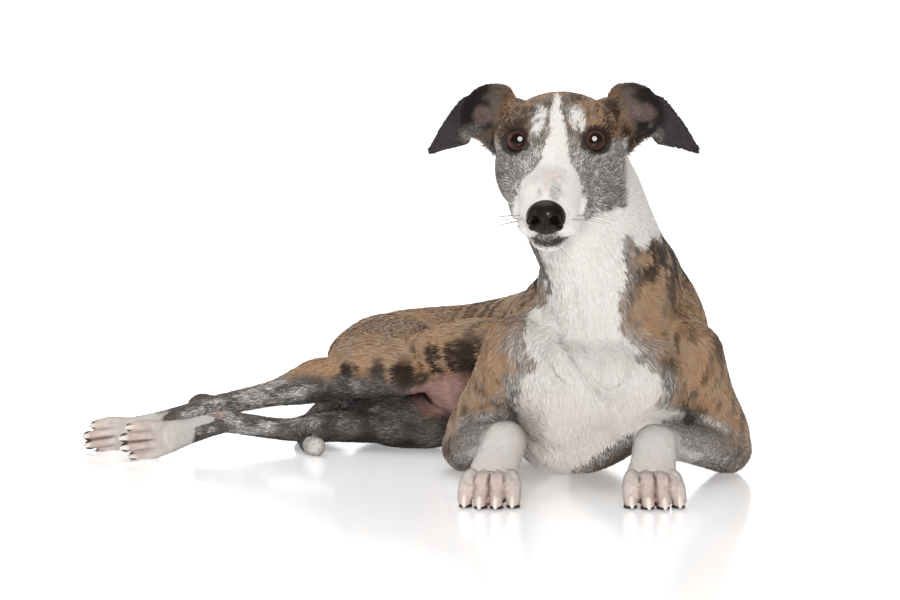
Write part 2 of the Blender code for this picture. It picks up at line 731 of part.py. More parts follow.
def shank_divider(cutters):
    """A thin tilted wall between the shanks, where the thighs press them together."""
    front, rear = Vector((-0.0848, 0.0998, 0.0570)), Vector((-0.165, 0.0998, 0.0384))
    axes = axes_along(rear - front, Vector((0, 0, 1)))
    sizes = (0.2995, (rear - front).length, GAP)
    return block("between the shanks", (front + rear) / 2, axes, sizes, cutters)


def part_body(flesh, cutters):
    """Cuts a thin wall round each room, leaving out the rooms that come before it."""
    inner = list(rooms(cutters, -GAP))
    for index, wall in enumerate(rooms(cutters, GAP)):
        for room in inner[: index + 1]:
            cut_away(wall, room)
        cut_away(flesh, wall)
    cut_away(flesh, shank_divider(cutters))


# each piece of the body: a point near its middle, and its colour
BODY_PIECES = {
    "neck": ((0.125, -0.130, 0.240), "white"),
    "chest": ((0.147, 0.000, 0.110), "white"),
    "loin": ((0.050, 0.280, 0.090), "brindle"),
    "upper_arm_left": ((0.250, -0.050, 0.100), "brindle"),
    "upper_arm_right": ((0.040, -0.050, 0.100), "brindle"),
    "forearm_left": ((0.220, -0.120, 0.040), "dark brindle"),
    "forearm_right": ((0.035, -0.110, 0.040), "dark brindle"),
    "thigh_left": ((-0.040, 0.220, 0.030), "dark brindle"),
    "thigh_right": ((-0.050, 0.220, 0.095), "brindle"),
    "shank_left": ((-0.190, 0.195, 0.022), "roan"),
    "shank_right": ((-0.200, 0.210, 0.055), "roan"),
}
TAIL_PIECES = {
    "tail_base": ((-0.140, 0.345, 0.030), "dark brindle"),
    "tail_tip": ((-0.155, 0.210, 0.010), "white"),
}


def split(whole, pieces, collection):
    """One object for each closed surface that lies nearest a piece's middle."""
    mesh = bmesh.new()
    mesh.from_mesh(whole.data)
    found = [(middle_of(faces), faces) for faces in islands(mesh) if volume_of(faces) > 1e-5]
    for name, (middle, colour) in pieces.items():
        faces = min(found, key=lambda part: (part[0] - Vector(middle)).length)[1]
        kept = bmesh.new()
        copies = {}
        for face in faces:
            for vert in face.verts:
                if vert.index not in copies:
                    copies[vert.index] = kept.verts.new(vert.co)
            kept.faces.new([copies[vert.index] for vert in face.verts])
        object_from(kept, name, collection)
    mesh.free()
    bpy.data.objects.remove(whole)


def keep_largest(thing):
    mesh = bmesh.new()
    mesh.from_mesh(thing.data)
    found = sorted(islands(mesh), key=volume_of, reverse=True)
    for faces in found[1:]:
        bmesh.ops.delete(mesh, geom=faces, context="FACES")
    mesh.to_mesh(thing.data)
    mesh.free()


def finish(thing, colour):
    """Keeps one closed surface, sets it on the floor at its final place and paints it."""
    keep_largest(thing)
    thing.data.transform(Matrix.Translation(-ROW_CENTRE))
    for polygon in thing.data.polygons:
        polygon.use_smooth = True
    material = bpy.data.materials.new(thing.name)
    material.use_nodes = True
    shader = material.node_tree.nodes["Principled BSDF"]
    shader.inputs["Base Color"].default_value = COLOURS[colour]
    shader.inputs["Roughness"].default_value = 0.25 if colour in ("nose", "iris") else 0.75
    shader.inputs["Metallic"].default_value = 0.0
    thing.data.materials.clear()
    thing.data.materials.append(material)


def build_body(greyhound, cutters):
    mesh = bmesh.new()
    body_flesh(mesh)
    flesh = object_from(mesh, "flesh", greyhound)
    skin_over(flesh, BODY_VOXEL, 14, 4800)
    part_body(flesh, cutters)
    cut_away(flesh, tail("tail seat", cutters, GAP))
    cut_away(flesh, span_block("below the floor", (-1, -1, -0.2), (1, 1, 0), cutters))
    split(flesh, BODY_PIECES, greyhound)


def build_head(greyhound, cutters):
    mesh = bmesh.new()
    neck(mesh)
    head_flesh(mesh)
    head = object_from(mesh, "head", greyhound)
    skin_over(head, HEAD_VOXEL, 6, 2900)
    eye_sockets(head, cutters)
    nose_pad(greyhound, cutters)
    cut_away(head, nose_pad(cutters, cutters, GAP, "nose seat"))
    mouth_line(head, cutters)
    cut_away(head, head_room(cutters, -GAP), operation="INTERSECT")
    keep_largest(head)
    for side, name in ((1, "left"), (-1, "right")):
        ball("eye_" + name, eye_centre(side), [EYE_RADIUS] * 3, eye_axes(side), greyhound, 16)
        leather = ear("ear_" + name, side, greyhound)
        cut_away(leather, inflated(head, GAP, cutters))


def build_tail(greyhound, cutters):
    whole = tail("tail", greyhound)
    cut_away(whole, span_block("tail cut", (-0.3, 0.2997, -0.1), (-0.10, 0.3, 0.1), cutters))
    cut_away(whole, span_block("below the floor", (-1, -1, -0.2), (1, 1, 0), cutters))
    split(whole, TAIL_PIECES, greyhound)


def build_paws(greyhound, cutters):
    for name in PAWS:
        mesh = bmesh.new()
        paw_flesh(mesh, name)
        foot = object_from(mesh, name, greyhound)
        skin_over(foot, PAW_VOXEL, 2, 780)
        cut_away(foot, paw_room(name, cutters, -GAP), operation="INTERSECT")
        cut_away(foot, span_block("below the floor", (-1, -1, -0.2), (1, 1, 0), cutters))


OTHER_COLOURS = {
    "head": "roan",
    "nose": "nose",
    "eye_left": "iris",
    "eye_right": "iris",
    "ear_left": "charcoal",
    "ear_right": "charcoal",
}


def main():
    clear_scene()
    greyhound = new_collection("greyhound")
    cutters = new_collection("cutters", hidden=True)
    build_body(greyhound, cutters)
    build_head(greyhound, cutters)
    build_tail(greyhound, cutters)
    build_paws(greyhound, cutters)
    colours = {name: colour for name, (place, colour) in {**BODY_PIECES, **TAIL_PIECES}.items()}
    colours.update(OTHER_COLOURS)
    for thing in greyhound.objects:
        finish(thing, colours.get(thing.name, "white"))


main()
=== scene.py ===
# The looks of a greyhound that lies with its head up: one skin over the whole body, short fur
# in fine tufts, eyes, nose, claws and whiskers. Metres, floor at z = 0.

import math

import bmesh
import bpy
import numpy as np
from mathutils import Matrix, Vector


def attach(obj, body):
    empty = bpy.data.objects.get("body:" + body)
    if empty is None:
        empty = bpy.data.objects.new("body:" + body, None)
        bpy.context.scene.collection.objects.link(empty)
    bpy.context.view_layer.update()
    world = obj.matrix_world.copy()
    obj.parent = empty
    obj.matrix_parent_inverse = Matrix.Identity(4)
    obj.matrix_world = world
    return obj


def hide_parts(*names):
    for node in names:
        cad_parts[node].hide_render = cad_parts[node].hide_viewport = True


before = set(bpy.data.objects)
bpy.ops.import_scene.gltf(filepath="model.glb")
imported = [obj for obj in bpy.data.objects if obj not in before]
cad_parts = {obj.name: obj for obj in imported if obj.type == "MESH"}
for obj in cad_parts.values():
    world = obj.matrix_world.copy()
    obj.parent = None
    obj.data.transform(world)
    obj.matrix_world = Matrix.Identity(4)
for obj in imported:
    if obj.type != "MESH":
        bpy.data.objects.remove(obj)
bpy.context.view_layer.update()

up = Vector((0, 0, 1))
drawnAt = Vector((0.0480, -0.0440, 0.0))  # where the drawing's origin lies in the row's frame
lens = {"place": Vector((0.0, -2.27, 0.28)), "focal": 2300.0, "middle": 450.0, "horizon": 188.0}

body = {
    "shoulder": {"left": Vector((0.222, -0.122, 0.124)), "right": Vector((0.064, -0.122, 0.128))},
    "elbow": {"left": Vector((0.274, -0.012, 0.0240)), "right": Vector((0.016, 0.002, 0.0240))},
    "wrist": {"left": Vector((0.186, -0.195, 0.050)), "right": Vector((0.050, -0.190, 0.051))},
    "foreKnuckle": {"left": Vector((0.1785, -0.236, 0.0235)), "right": Vector((0.0375, -0.232, 0.0235))},
    "hip": {"left": Vector((-0.060, 0.322, 0.043)), "right": Vector((-0.062, 0.316, 0.104))},
    "knee": {"left": Vector((-0.004, 0.190, 0.0265)), "right": Vector((-0.030, 0.165, 0.086))},
    "hock": {"left": Vector((-0.243, 0.184, 0.030)), "right": Vector((-0.258, 0.240, 0.0415))},
    "hindKnuckle": {"left": Vector((-0.294, 0.118, 0.0205)), "right": Vector((-0.336, 0.182, 0.0185))},
}
head = {
    "eyes": Vector((0.0934, -0.225, 0.3218)), "pitch": 19.0, "yaw": 8.0,
    "eye": (0.0332, -0.0035, -0.0004), "eyeRadius": 0.0121, "opening": (0.0113, 0.0103), "lid": 0.0019,
    "nose": (0.0, 0.1000, -0.0360), "noseSize": (0.0172, 0.0125, 0.0150), "earThickness": 0.0026,
}

# Small helpers for meshes and numbers


def deselect():
    for thing in bpy.context.selected_objects:
        thing.select_set(False)


def pieceFrom(mesh, name):
    bmesh.ops.recalc_face_normals(mesh, faces=mesh.faces)
    data = bpy.data.meshes.new(name)
    mesh.to_mesh(data)
    mesh.free()
    piece = bpy.data.objects.new(name, data)
    bpy.context.scene.collection.objects.link(piece)
    return piece


def pieceFromArrays(name, corners, faces):
    data = bpy.data.meshes.new(name)
    data.vertices.add(len(corners))
    data.vertices.foreach_set("co", np.asarray(corners, np.float32).ravel())
    faces = np.asarray(faces, np.int32)
    data.loops.add(faces.size)
    data.loops.foreach_set("vertex_index", faces.ravel())
    data.polygons.add(len(faces))
    data.polygons.foreach_set("loop_start", np.arange(len(faces), dtype=np.int32) * faces.shape[1])
    data.update(calc_edges=True)
    piece = bpy.data.objects.new(name, data)
    bpy.context.scene.collection.objects.link(piece)
    return piece


def settle(piece):  # applies every modifier
    graph = bpy.context.evaluated_depsgraph_get()
    done = bpy.data.meshes.new_from_object(piece.evaluated_get(graph))
    piece.modifiers.clear()
    piece.data = done


def remesh(piece, voxel):
    modifier = piece.modifiers.new("skin", "REMESH")
    modifier.mode = "VOXEL"
    modifier.voxel_size = voxel
    settle(piece)


def cut(piece, cutter, operation="DIFFERENCE"):
    modifier = piece.modifiers.new("cut", "BOOLEAN")
    modifier.operation = operation
    modifier.solver = "MANIFOLD"
    modifier.object = cutter
    settle(piece)
    bpy.data.objects.remove(cutter)


def cornersOf(piece):
    found = np.empty(len(piece.data.vertices) * 3, np.float32)
    piece.data.vertices.foreach_get("co", found)
    return found.reshape(-1, 3).astype(np.float64)


def moveCorners(piece, corners):
    piece.data.vertices.foreach_set("co", np.asarray(corners, np.float32).ravel())
    piece.data.update()


def normalsOf(piece):
    found = np.empty(len(piece.data.vertices) * 3, np.float32)
    piece.data.vertices.foreach_get("normal", found)
    return found.reshape(-1, 3).astype(np.float64)


def edgesOf(piece):
    found = np.empty(len(piece.data.edges) * 2, np.int32)
    piece.data.edges.foreach_get("vertices", found)
    return found.reshape(-1, 2)


def facesOf(piece):  # of a piece made of triangles
    found = np.empty(len(piece.data.polygons) * 3, np.int32)
    piece.data.polygons.foreach_get("vertices", found)
    return found.reshape(-1, 3)


def offFloor(corners, height):  # nothing is lower than this height
    corners[:, 2] = np.maximum(corners[:, 2], height)
    return corners


def distance(points, place):
    return np.linalg.norm(points - np.array(place), axis=1)


def relax(corners, edges, weight, rounds):  # each corner moves towards its neighbours' middle
    count = len(corners)
    degree = np.bincount(edges.ravel(), minlength=count).astype(float)
    for _ in range(rounds):
        total = np.empty_like(corners)
        for axis in range(3):
            values = corners[:, axis]
            total[:, axis] = np.bincount(edges[:, 0], values[edges[:, 1]], count)
            total[:, axis] += np.bincount(edges[:, 1], values[edges[:, 0]], count)
        average = total / np.maximum(degree, 1)[:, None]
        corners = corners + (average - corners) * (0.5 * weight)[:, None]
    return corners


def fade(value, low, high):  # 0 below low, 1 above high, smooth between
    t = np.clip((value - low) / (high - low), 0, 1)
    return t * t * (3 - 2 * t)


def cloud(points, size, seed=0):  # smooth noise from 0 to 1
    place = np.asarray(points) / size + seed * 17.31
    cell = np.floor(place).astype(np.int64)
    t = place - cell
    t = t * t * (3 - 2 * t)
    total = np.zeros(len(place))
    for corner in range(8):
        step = np.array([corner & 1, corner >> 1 & 1, corner >> 2 & 1])
        key = (cell + step) @ np.array([73856093, 19349663, 83492791])
        key = ((key ^ (key >> 13)) * 1274126177) & 0xFFFFFFFF
        value = ((key ^ (key >> 15)) & 0xFFFF) / 65535
        total += value * np.prod(np.where(step, t, 1 - t), axis=1)
    return total


# Lofts and masses, as the solids are drawn


def smoothRows(rows, steps):
    rows = np.array(rows, float)
    padded = np.vstack([2 * rows[0] - rows[1], rows, 2 * rows[-1] - rows[-2]])
    dense = []
    for index in range(1, len(padded) - 2):
        a, b, c, d = padded[index - 1 : index + 3]
        for t in np.arange(steps) / steps:
            bend = (2 * a - 5 * b + 4 * c - d) * t**2 + (3 * b - a - 3 * c + d) * t**3
            dense.append(0.5 * (2 * b + (c - a) * t + bend))
    dense.append(rows[-1])
    return np.array(dense)


def loft(mesh, rows, ups, points=36, steps=6, keel=0.0):
    # a row is x, y, z, half side, half top, half bottom
    ups = [ups] * len(rows) if isinstance(ups, Vector) else ups
    rows = smoothRows([list(row) + list(upward) for row, upward in zip(rows, ups)], steps)
    along = np.gradient(rows[:, :3], axis=0)
    along /= np.linalg.norm(along, axis=1)[:, None]
    side = np.cross(along, rows[:, 6:9])
    side /= np.linalg.norm(side, axis=1)[:, None]
    high = np.cross(side, along)
    rings = []

    def ring(index, share, shift):
        centre = rows[index, :3] + along[index] * shift
        halfSide, top, bottom = rows[index, 3:6] * share
        made = []
        for turn in np.linspace(0, 2 * math.pi, points, endpoint=False):
            height = math.sin(turn)
            pinch = 1 - keel * max(0.0, -height) ** 2
            reach = top if height > 0 else bottom
            place = centre + side[index] * halfSide * math.cos(turn) * pinch + high[index] * reach * height
            made.append(mesh.verts.new(place))
        rings.append(made)

    dome = (math.radians(65), math.radians(35))
    firstReach, lastReach = rows[0, 3:6].min(), rows[-1, 3:6].min()
    for angle in dome:
        ring(0, math.cos(angle), -firstReach * math.sin(angle))
    for index in range(len(rows)):
        ring(index, 1.0, 0.0)
    for angle in reversed(dome):
        ring(-1, math.cos(angle), lastReach * math.sin(angle))
    start = mesh.verts.new(rows[0, :3] - along[0] * firstReach)
    end = mesh.verts.new(rows[-1, :3] + along[-1] * lastReach)
    for near, far in zip(rings, rings[1:]):
        for index in range(points):
            after = (index + 1) % points
            mesh.faces.new((near[index], near[after], far[after], far[index]))
    for index in range(points):
        after = (index + 1) % points
        mesh.faces.new((start, rings[0][after], rings[0][index]))
        mesh.faces.new((end, rings[-1][index], rings[-1][after]))


def mass(mesh, centre, radii, axes=None, segments=32):
    matrix = (axes or Matrix.Identity(3)) @ Matrix.Diagonal(radii)
    rows = segments // 2 + 2
    top, bottom = (mesh.verts.new(centre + matrix @ Vector((0, 0, end))) for end in (1, -1))
    rings = []
    for row in range(1, rows):
        lean = math.pi * row / rows
        turns = (2 * math.pi * step / segments for step in range(segments))
        wide, high = math.sin(lean), math.cos(lean)
        places = (Vector((wide * math.cos(turn), wide * math.sin(turn), high)) for turn in turns)
        rings.append([mesh.verts.new(centre + matrix @ place) for place in places])
    for near, far in zip(rings, rings[1:]):
        for index in range(segments):
            after = (index + 1) % segments
            mesh.faces.new((near[index], far[index], far[after], near[after]))
    for index in range(segments):
        after = (index + 1) % segments
        mesh.faces.new((top, rings[0][index], rings[0][after]))
        mesh.faces.new((bottom, rings[-1][after], rings[-1][index]))


def axesAlong(forward, upward):  # columns: side, forward and up
    forward = forward.normalized()
    side = forward.cross(upward).normalized()
    return Matrix((side, forward, side.cross(forward))).transposed()


def muscle(mesh, start, end, width, depth, upward=up, spare=0.12):
    length = (end - start).length * (0.5 + spare)
    mass(mesh, (start + end) / 2, (width, length, depth), axesAlong(end - start, upward))


trunkRows = (
    (0.138, -0.138, 0.106, 0.056, 0.048, 0.050), (0.143, -0.115, 0.112, 0.080, 0.078, 0.086),
    (0.150, -0.045, 0.120, 0.088, 0.104, 0.1225), (0.155, 0.040, 0.124, 0.088, 0.112, 0.1290),
    (0.152, 0.135, 0.118, 0.086, 0.095, 0.1200), (0.130, 0.220, 0.106, 0.082, 0.073, 0.1060),
    (0.086, 0.290, 0.094, 0.076, 0.060, 0.0900), (0.034, 0.332, 0.084, 0.068, 0.062, 0.066),
    (-0.018, 0.346, 0.080, 0.066, 0.060, 0.062), (-0.064, 0.344, 0.076, 0.062, 0.058, 0.060),
    (-0.090, 0.330, 0.066, 0.042, 0.038, 0.044), (-0.108, 0.324, 0.060, 0.025, 0.024, 0.029),
)
trunkRolls = (
    (0.22, 0.0, 0.97), (0.26, 0.0, 0.96), (0.27, 0.0, 0.96), (0.28, 0.0, 0.95), (0.34, 0.08, 0.93),
    (0.38, 0.28, 0.87), (0.32, 0.56, 0.74), (0.15, 0.80, 0.55), (0.0, 0.90, 0.42),
    (-0.1, 0.93, 0.34), (-0.1, 0.93, 0.34), (-0.1, 0.93, 0.34),
)
neckBack = ((0.112, -0.146, 0.350), (0.131, -0.105, 0.314), (0.154, -0.062, 0.272), (0.167, -0.015, 0.238),
            (0.176, 0.030, 0.222))
neckFront = ((0.101, -0.198, 0.268), (0.107, -0.189, 0.228), (0.122, -0.180, 0.185), (0.129, -0.170, 0.140),
             (0.139, -0.160, 0.095))
tailRows = (
    (-0.092, 0.340, 0.056), (-0.118, 0.354, 0.042), (-0.143, 0.350, 0.025), (-0.158, 0.325, 0.0125),
    (-0.163, 0.285, 0.0096), (-0.160, 0.240, 0.0086), (-0.155, 0.198, 0.0082), (-0.150, 0.160, 0.0092),
    (-0.1405, 0.1245, 0.0098),
)


def trunkForm(mesh):
    loft(mesh, trunkRows, [Vector(roll) for roll in trunkRolls], points=48, keel=0.25)
    mass(mesh, Vector((0.106, -0.045, 0.050)), (0.045, 0.060, 0.048))
    mass(mesh, Vector((0.120, -0.086, 0.064)), (0.056, 0.058, 0.056))
    muscle(mesh, Vector((-0.040, 0.180, 0.102)), Vector((0.080, 0.140, 0.118)), 0.036, 0.032)  # flank
    mass(mesh, Vector((0.036, 0.168, 0.068)), (0.062, 0.050, 0.034))  # groin


def neckForm(mesh):
    rows, ups = [], []
    for nape, throat, half in zip(neckBack, neckFront, (0.049, 0.056, 0.0555, 0.066, 0.072)):
        nape, throat = Vector(nape), Vector(throat)
        reach = (nape - throat).length / 2
        rows.append((*nape.lerp(throat, 0.5), half, reach, reach))
        ups.append((nape - throat).normalized())
    loft(mesh, rows, ups, points=40)


def shoulderForm(mesh, side):
    out = 1 if side == "left" else -1
    joint, elbow = body["shoulder"][side], body["elbow"][side]
    outward = Vector((out, 0, 0.3))
    bladeTop = Vector((0.170 + 0.024 * out, 0.015, 0.202))
    bladeBack = Vector((0.160 + 0.066 * out, 0.055, 0.144))
    muscle(mesh, bladeTop, joint, 0.042, 0.034, outward)
    muscle(mesh, bladeBack, elbow, 0.044, 0.025, outward, 0.06)
    mass(mesh, Vector((0.140 + 0.036 * out, -0.120, 0.098)), (0.052, 0.059, 0.062))
    mass(mesh, Vector((0.127 + 0.0215 * out, -0.162, 0.117)), (0.024, 0.026, 0.025))
    rows = (
        (*joint, 0.036, 0.034, 0.034),
        (*joint.lerp(elbow, 0.4), 0.032, 0.028, 0.029),
        (*joint.lerp(elbow, 0.8), 0.030, 0.028, 0.028),
        (*elbow, 0.023, 0.023, 0.024),
    )
    loft(mesh, rows, outward)


def forearmForm(mesh, side):
    elbow, wrist, knuckle = body["elbow"][side], body["wrist"][side], body["foreKnuckle"][side]
    mass(mesh, elbow + Vector((0, 0.016, -0.004)), (0.018, 0.022, 0.020))
    rows = (
        (*elbow, 0.025, 0.026, 0.026),
        (*elbow.lerp(wrist, 0.25), 0.027, 0.026, 0.022),
        (*elbow.lerp(wrist, 0.6), 0.021, 0.020, 0.017),
        (*elbow.lerp(wrist, 0.88), 0.0195, 0.0165, 0.015),
        (*wrist, 0.0215, 0.0180, 0.017),
        (*wrist.lerp(knuckle, 0.5), 0.0215, 0.0150, 0.015),
        (*knuckle, 0.0225, 0.0125, 0.013),
    )
    loft(mesh, rows, Vector((0, -0.35, 1)))


def hindLegForm(mesh, side):
    hip, knee, hock = body["hip"][side], body["knee"][side], body["hock"][side]
    back = Vector((0, 1, 0))
    lower = side == "left"
    sag = up * (-0.0080 if lower else 0.0)
    rows = (
        (*(hip + Vector((-0.002, 0.008, 0))), 0.058, 0.036, 0.040),
        (*(hip.lerp(knee, 0.42) + Vector((-0.020, 0, 0))), 0.066, 0.035, 0.036),
        (*(hip.lerp(knee, 0.80) + Vector((-0.026, 0, 0))), 0.058, 0.032, 0.033),
        (*(knee + Vector((-0.014, 0.004, 0))), 0.040, 0.027, 0.027),
    )
    loft(mesh, rows, up)
    line = hock - knee
    tops = (0.0205, 0.0205, 0.0165, 0.0120) if lower else (0.0285, 0.0320, 0.0250, 0.0165)
    rows = (
        (*(knee + back * 0.004), 0.030, 0.025, 0.024),
        (*(knee + line * 0.22 + back * 0.012 + sag * 0.3), 0.040, tops[0], 0.0205),
        (*(knee + line * 0.48 + back * 0.013 + sag * 0.6), 0.031, tops[1], 0.0170),
        (*(knee + line * 0.60 + back * 0.010 + sag * 0.8), 0.025, tops[2], 0.0150),
        (*(knee + line * 0.73 + back * 0.006 + sag), 0.0185, tops[3], 0.0120),
        (*(knee + line * 0.97 + back * 0.004 + sag * 0.1), 0.0195, 0.0122, 0.0122),
    )
    loft(mesh, rows, up)


def hindPasternForm(mesh, side):
    hock, knuckle = body["hock"][side], body["hindKnuckle"][side]
    mass(mesh, hock + Vector((0.008, 0.012, 0.002)), (0.014, 0.012, 0.0115))
    if side == "right":
        mass(mesh, hock + Vector((-0.012, 0.004, 0.002)), (0.018, 0.012, 0.0125))
    rows = (
        (*hock, 0.0200, 0.0125, 0.0125),
        (*hock.lerp(knuckle, 0.25), 0.0165, 0.0125, 0.0125),
        (*hock.lerp(knuckle, 0.65), 0.0125, 0.0145, 0.0145),
        (*knuckle, 0.0125, 0.0175, 0.0175),
    )
    loft(mesh, rows, up)


# Paws


foreToes = {"back": up, "length": 0.047, "pitch": 0.0125, "girth": 0.0068, "drop": 0.0235, "onSide": False}
hindToes = {"length": 0.050, "pitch": 0.0088, "girth": 0.0062, "drop": 0.012, "onSide": True}
paws = {  # knuckle: the middle of the foot where the toes begin
    "foreLeft": {**foreToes, "knuckle": body["foreKnuckle"]["left"], "toes": Vector((0.02, -1.0, 0.0))},
    "foreRight": {**foreToes, "knuckle": body["foreKnuckle"]["right"], "toes": Vector((-0.10, -1.0, 0.0))},
    "hindLeft": {**hindToes, "knuckle": body["hindKnuckle"]["left"], "toes": Vector((-0.66, -0.75, -0.02)),
                 "back": Vector((0.55, -0.60, 0.10))},
    "hindRight": {**hindToes, "knuckle": body["hindKnuckle"]["right"], "toes": Vector((-0.93, -0.36, -0.12)),
                  "back": Vector((0.25, -0.90, 0.12))},
}
for paw in paws.values():
    paw["axes"] = axesAlong(paw["toes"], paw["back"])


def pawPlace(paw, side, forward, high):
    return paw["knuckle"] + paw["axes"] @ Vector((side, forward, high))


def inPaw(points, paw):  # the points in the paw's own frame: side, ahead and over
    return (points - np.array(paw["knuckle"])) @ np.array(paw["axes"])


def cleftAt(paw, number, ahead):  # side of the cleft between two toes, as they spread
    return number * paw["pitch"] * np.interp(ahead, (0, paw["length"]), (0.95, 1.14))


def toesOf(paw):  # side, reach and spread of each toe
    for number in range(4):
        side = (number - 1.5) * paw["pitch"]
        yield side, paw["length"] * (1.0 if number in (1, 2) else 0.80), side * 1.12


def pawForm(mesh, paw):
    girth, drop, pitch, axes = paw["girth"], paw["drop"], paw["pitch"], paw["axes"]
    lift = axes @ Vector((0, 0, 1))
    tipDrop, padReach = (0.80, 0.84) if paw["onSide"] else (0.76, 0.78)
    for side, reach, spread in toesOf(paw):
        rows = (
            (*pawPlace(paw, side * 0.72, -0.010, -0.002), girth, girth, girth),
            (*pawPlace(paw, side * 0.95, reach * 0.30, 0.0015), girth, girth, girth),
            (*pawPlace(paw, spread, reach * 0.62, -drop * 0.28), girth * 1.02, girth, girth),
            (*pawPlace(paw, spread, reach * 0.88, -drop * 0.62), girth, girth * 0.9, girth),
            (*pawPlace(paw, spread, reach, -drop * tipDrop), girth * 0.90, girth * 0.6, girth * 0.6),
        )
        loft(mesh, rows, lift, points=20, steps=5)
        pad = pawPlace(paw, spread, reach * padReach, -drop * 0.80)
        mass(mesh, pad, (girth * 0.84, girth * 1.2, girth * 0.75), axes, 18)
    mass(mesh, pawPlace(paw, 0, 0.012, -drop * 0.62), (pitch * 1.35, 0.0125, drop * 0.42), axes, 20)
    mass(mesh, pawPlace(paw, 0, 0.010, -0.004), (pitch * 1.55, 0.016, girth * 1.35), axes, 20)
    if paw["onSide"]:
        mass(mesh, pawPlace(paw, 0, 0.018, -0.0032), (pitch * 1.95, 0.019, girth * 1.25), axes, 28)
    else:  # the foot's top, and the web between the toes
        mass(mesh, pawPlace(paw, 0, 0.020, -0.0018), (pitch * 2.00, 0.0215, girth * 1.30), axes, 28)
        mass(mesh, pawPlace(paw, 0, 0.0285, -drop * 0.52), (pitch * 1.75, 0.0145, girth * 1.05), axes, 28)


# Head and ears


def headAxes():  # columns: the head's left, forward and up
    pitch, yaw = math.radians(head["pitch"]), math.radians(head["yaw"])
    forward = Vector((-math.sin(yaw) * math.cos(pitch), -math.cos(yaw) * math.cos(pitch), -math.sin(pitch)))
    left = Vector((math.cos(yaw), -math.sin(yaw), 0.0))
    return Matrix((left, forward, left.cross(forward) * -1)).transposed()


headTurn = headAxes()


def headPlace(left, forward, high):
    return head["eyes"] + headTurn @ Vector((left, forward, high))


def inHead(points):  # the points in the head's own frame: left, forward and high
    return (points - np.array(head["eyes"])) @ np.array(headTurn)


def headMass(mesh, place, radii):  # one on each side
    for side in (1, -1):
        mass(mesh, headPlace(place[0] * side, place[1], place[2]), radii, headTurn)


def headLoft(mesh, rows, points=40):
    placed = [(*headPlace(0, forward, high), *sizes) for forward, high, *sizes in rows]
    loft(mesh, placed, headTurn @ up, points=points)


def headForm(mesh):
    skull = (
        (-0.085, -0.004, 0.032, 0.022, 0.040), (-0.060, -0.004, 0.048, 0.031, 0.050),
        (-0.030, -0.006, 0.053, 0.031, 0.056), (0.000, -0.014, 0.047, 0.029, 0.050),
        (0.022, -0.022, 0.037, 0.026, 0.040), (0.045, -0.029, 0.0300, 0.0250, 0.030),
        (0.070, -0.035, 0.0268, 0.0240, 0.024), (0.084, -0.0375, 0.0238, 0.0215, 0.0185),
        (0.090, -0.0385, 0.0190, 0.0180, 0.0150),
    )
    headLoft(mesh, skull)
    jaw = (
        (-0.030, -0.046, 0.036, 0.022, 0.026), (0.000, -0.050, 0.031, 0.020, 0.022),
        (0.030, -0.054, 0.0240, 0.0160, 0.0165), (0.060, -0.0600, 0.0190, 0.0120, 0.0115),
        (0.082, -0.0635, 0.0165, 0.0105, 0.0092), (0.088, -0.0630, 0.0130, 0.0090, 0.0085),
    )
    headLoft(mesh, jaw)
    headMass(mesh, (0.0375, -0.030, -0.006), (0.0200, 0.040, 0.024))
    headMass(mesh, (0.0365, -0.042, -0.038), (0.0230, 0.040, 0.036))
    headMass(mesh, (0.0290, -0.010, 0.0105), (0.0190, 0.0165, 0.0095))
    headMass(mesh, (0.0400, -0.058, 0.008), (0.0130, 0.018, 0.013))
    headMass(mesh, (0.0260, -0.035, 0.0040), (0.0240, 0.036, 0.0205))
    headMass(mesh, (0.0265, 0.040, -0.040), (0.0125, 0.032, 0.018))
    headMass(mesh, (0.0185, 0.072, -0.050), (0.0095, 0.022, 0.0095))
    headMass(mesh, (0.0140, 0.080, -0.0510), (0.0095, 0.0145, 0.0080))  # upper lips
    headMass(mesh, (0.0415, 0.002, -0.0165), (0.0085, 0.0200, 0.0060))  # cheek bones
    for side in (1, -1):
        lid = head["eyeRadius"] + head["lid"]
        mass(mesh, eyePlace(side), (lid, lid, lid), eyeAxes(side))


def eyePlace(side):
    return headPlace(head["eye"][0] * side, head["eye"][1], head["eye"][2])


def eyeAxes(side):  # columns: across, outward and up
    return axesAlong(headTurn @ Vector((0.22 * side + 0.08, 0.93, 0.20)), headTurn @ up)


earRows = (  # top edge, bottom edge, and how the middle bows: outward, upward, forward
    ((-0.0205, 0.0160, -0.012), (-0.004, -0.034, -0.008), (0.002, 0, -0.008)),
    ((-0.0130, 0.0300, -0.007), (0.005, -0.030, 0.001), (0.002, 0, -0.014)),
    ((-0.0060, 0.0360, -0.004), (0.013, -0.0225, 0.006), (0.002, 0, -0.020)),
    ((0.0085, 0.0372, -0.002), (0.019, -0.0165, 0.008), (0.002, 0, -0.022)),
    ((0.0210, 0.0335, 0.0), (0.0235, -0.0145, 0.008), (0.006, 0, -0.015)),
    ((0.029, 0.0275, 0.001), (0.0265, -0.0135, 0.005), (0.0105, -0.002, 0.001)),
    ((0.037, 0.0235, 0.001), (0.0310, -0.0195, 0.0), (0.0075, 0, 0.003)),
    ((0.0465, 0.014, 0.0), (0.0410, -0.0220, -0.002), (0.003, 0, 0.003)),
    ((0.0565, 0.001, 0.0), (0.0540, -0.0248, -0.002), (0.001, 0, 0.002)),
    ((0.0655, -0.0133, -0.001), (0.0632, -0.0277, -0.002), (0, 0, 0.001)),
    ((0.0728, -0.0235, -0.001), (0.0710, -0.0300, -0.002), (0, 0, 0)),
)


def earPlace(side, out, high, forward):
    turn = Matrix.Rotation(-math.radians(head["yaw"]), 3, "Z")
    root = head["eyes"] + turn @ Vector((0.0565 * side, 0.053, 0.0175))
    reach = 0.96 if side > 0 else 0.91
    return root + turn @ Vector((out * side * reach, -forward, high * 0.96))


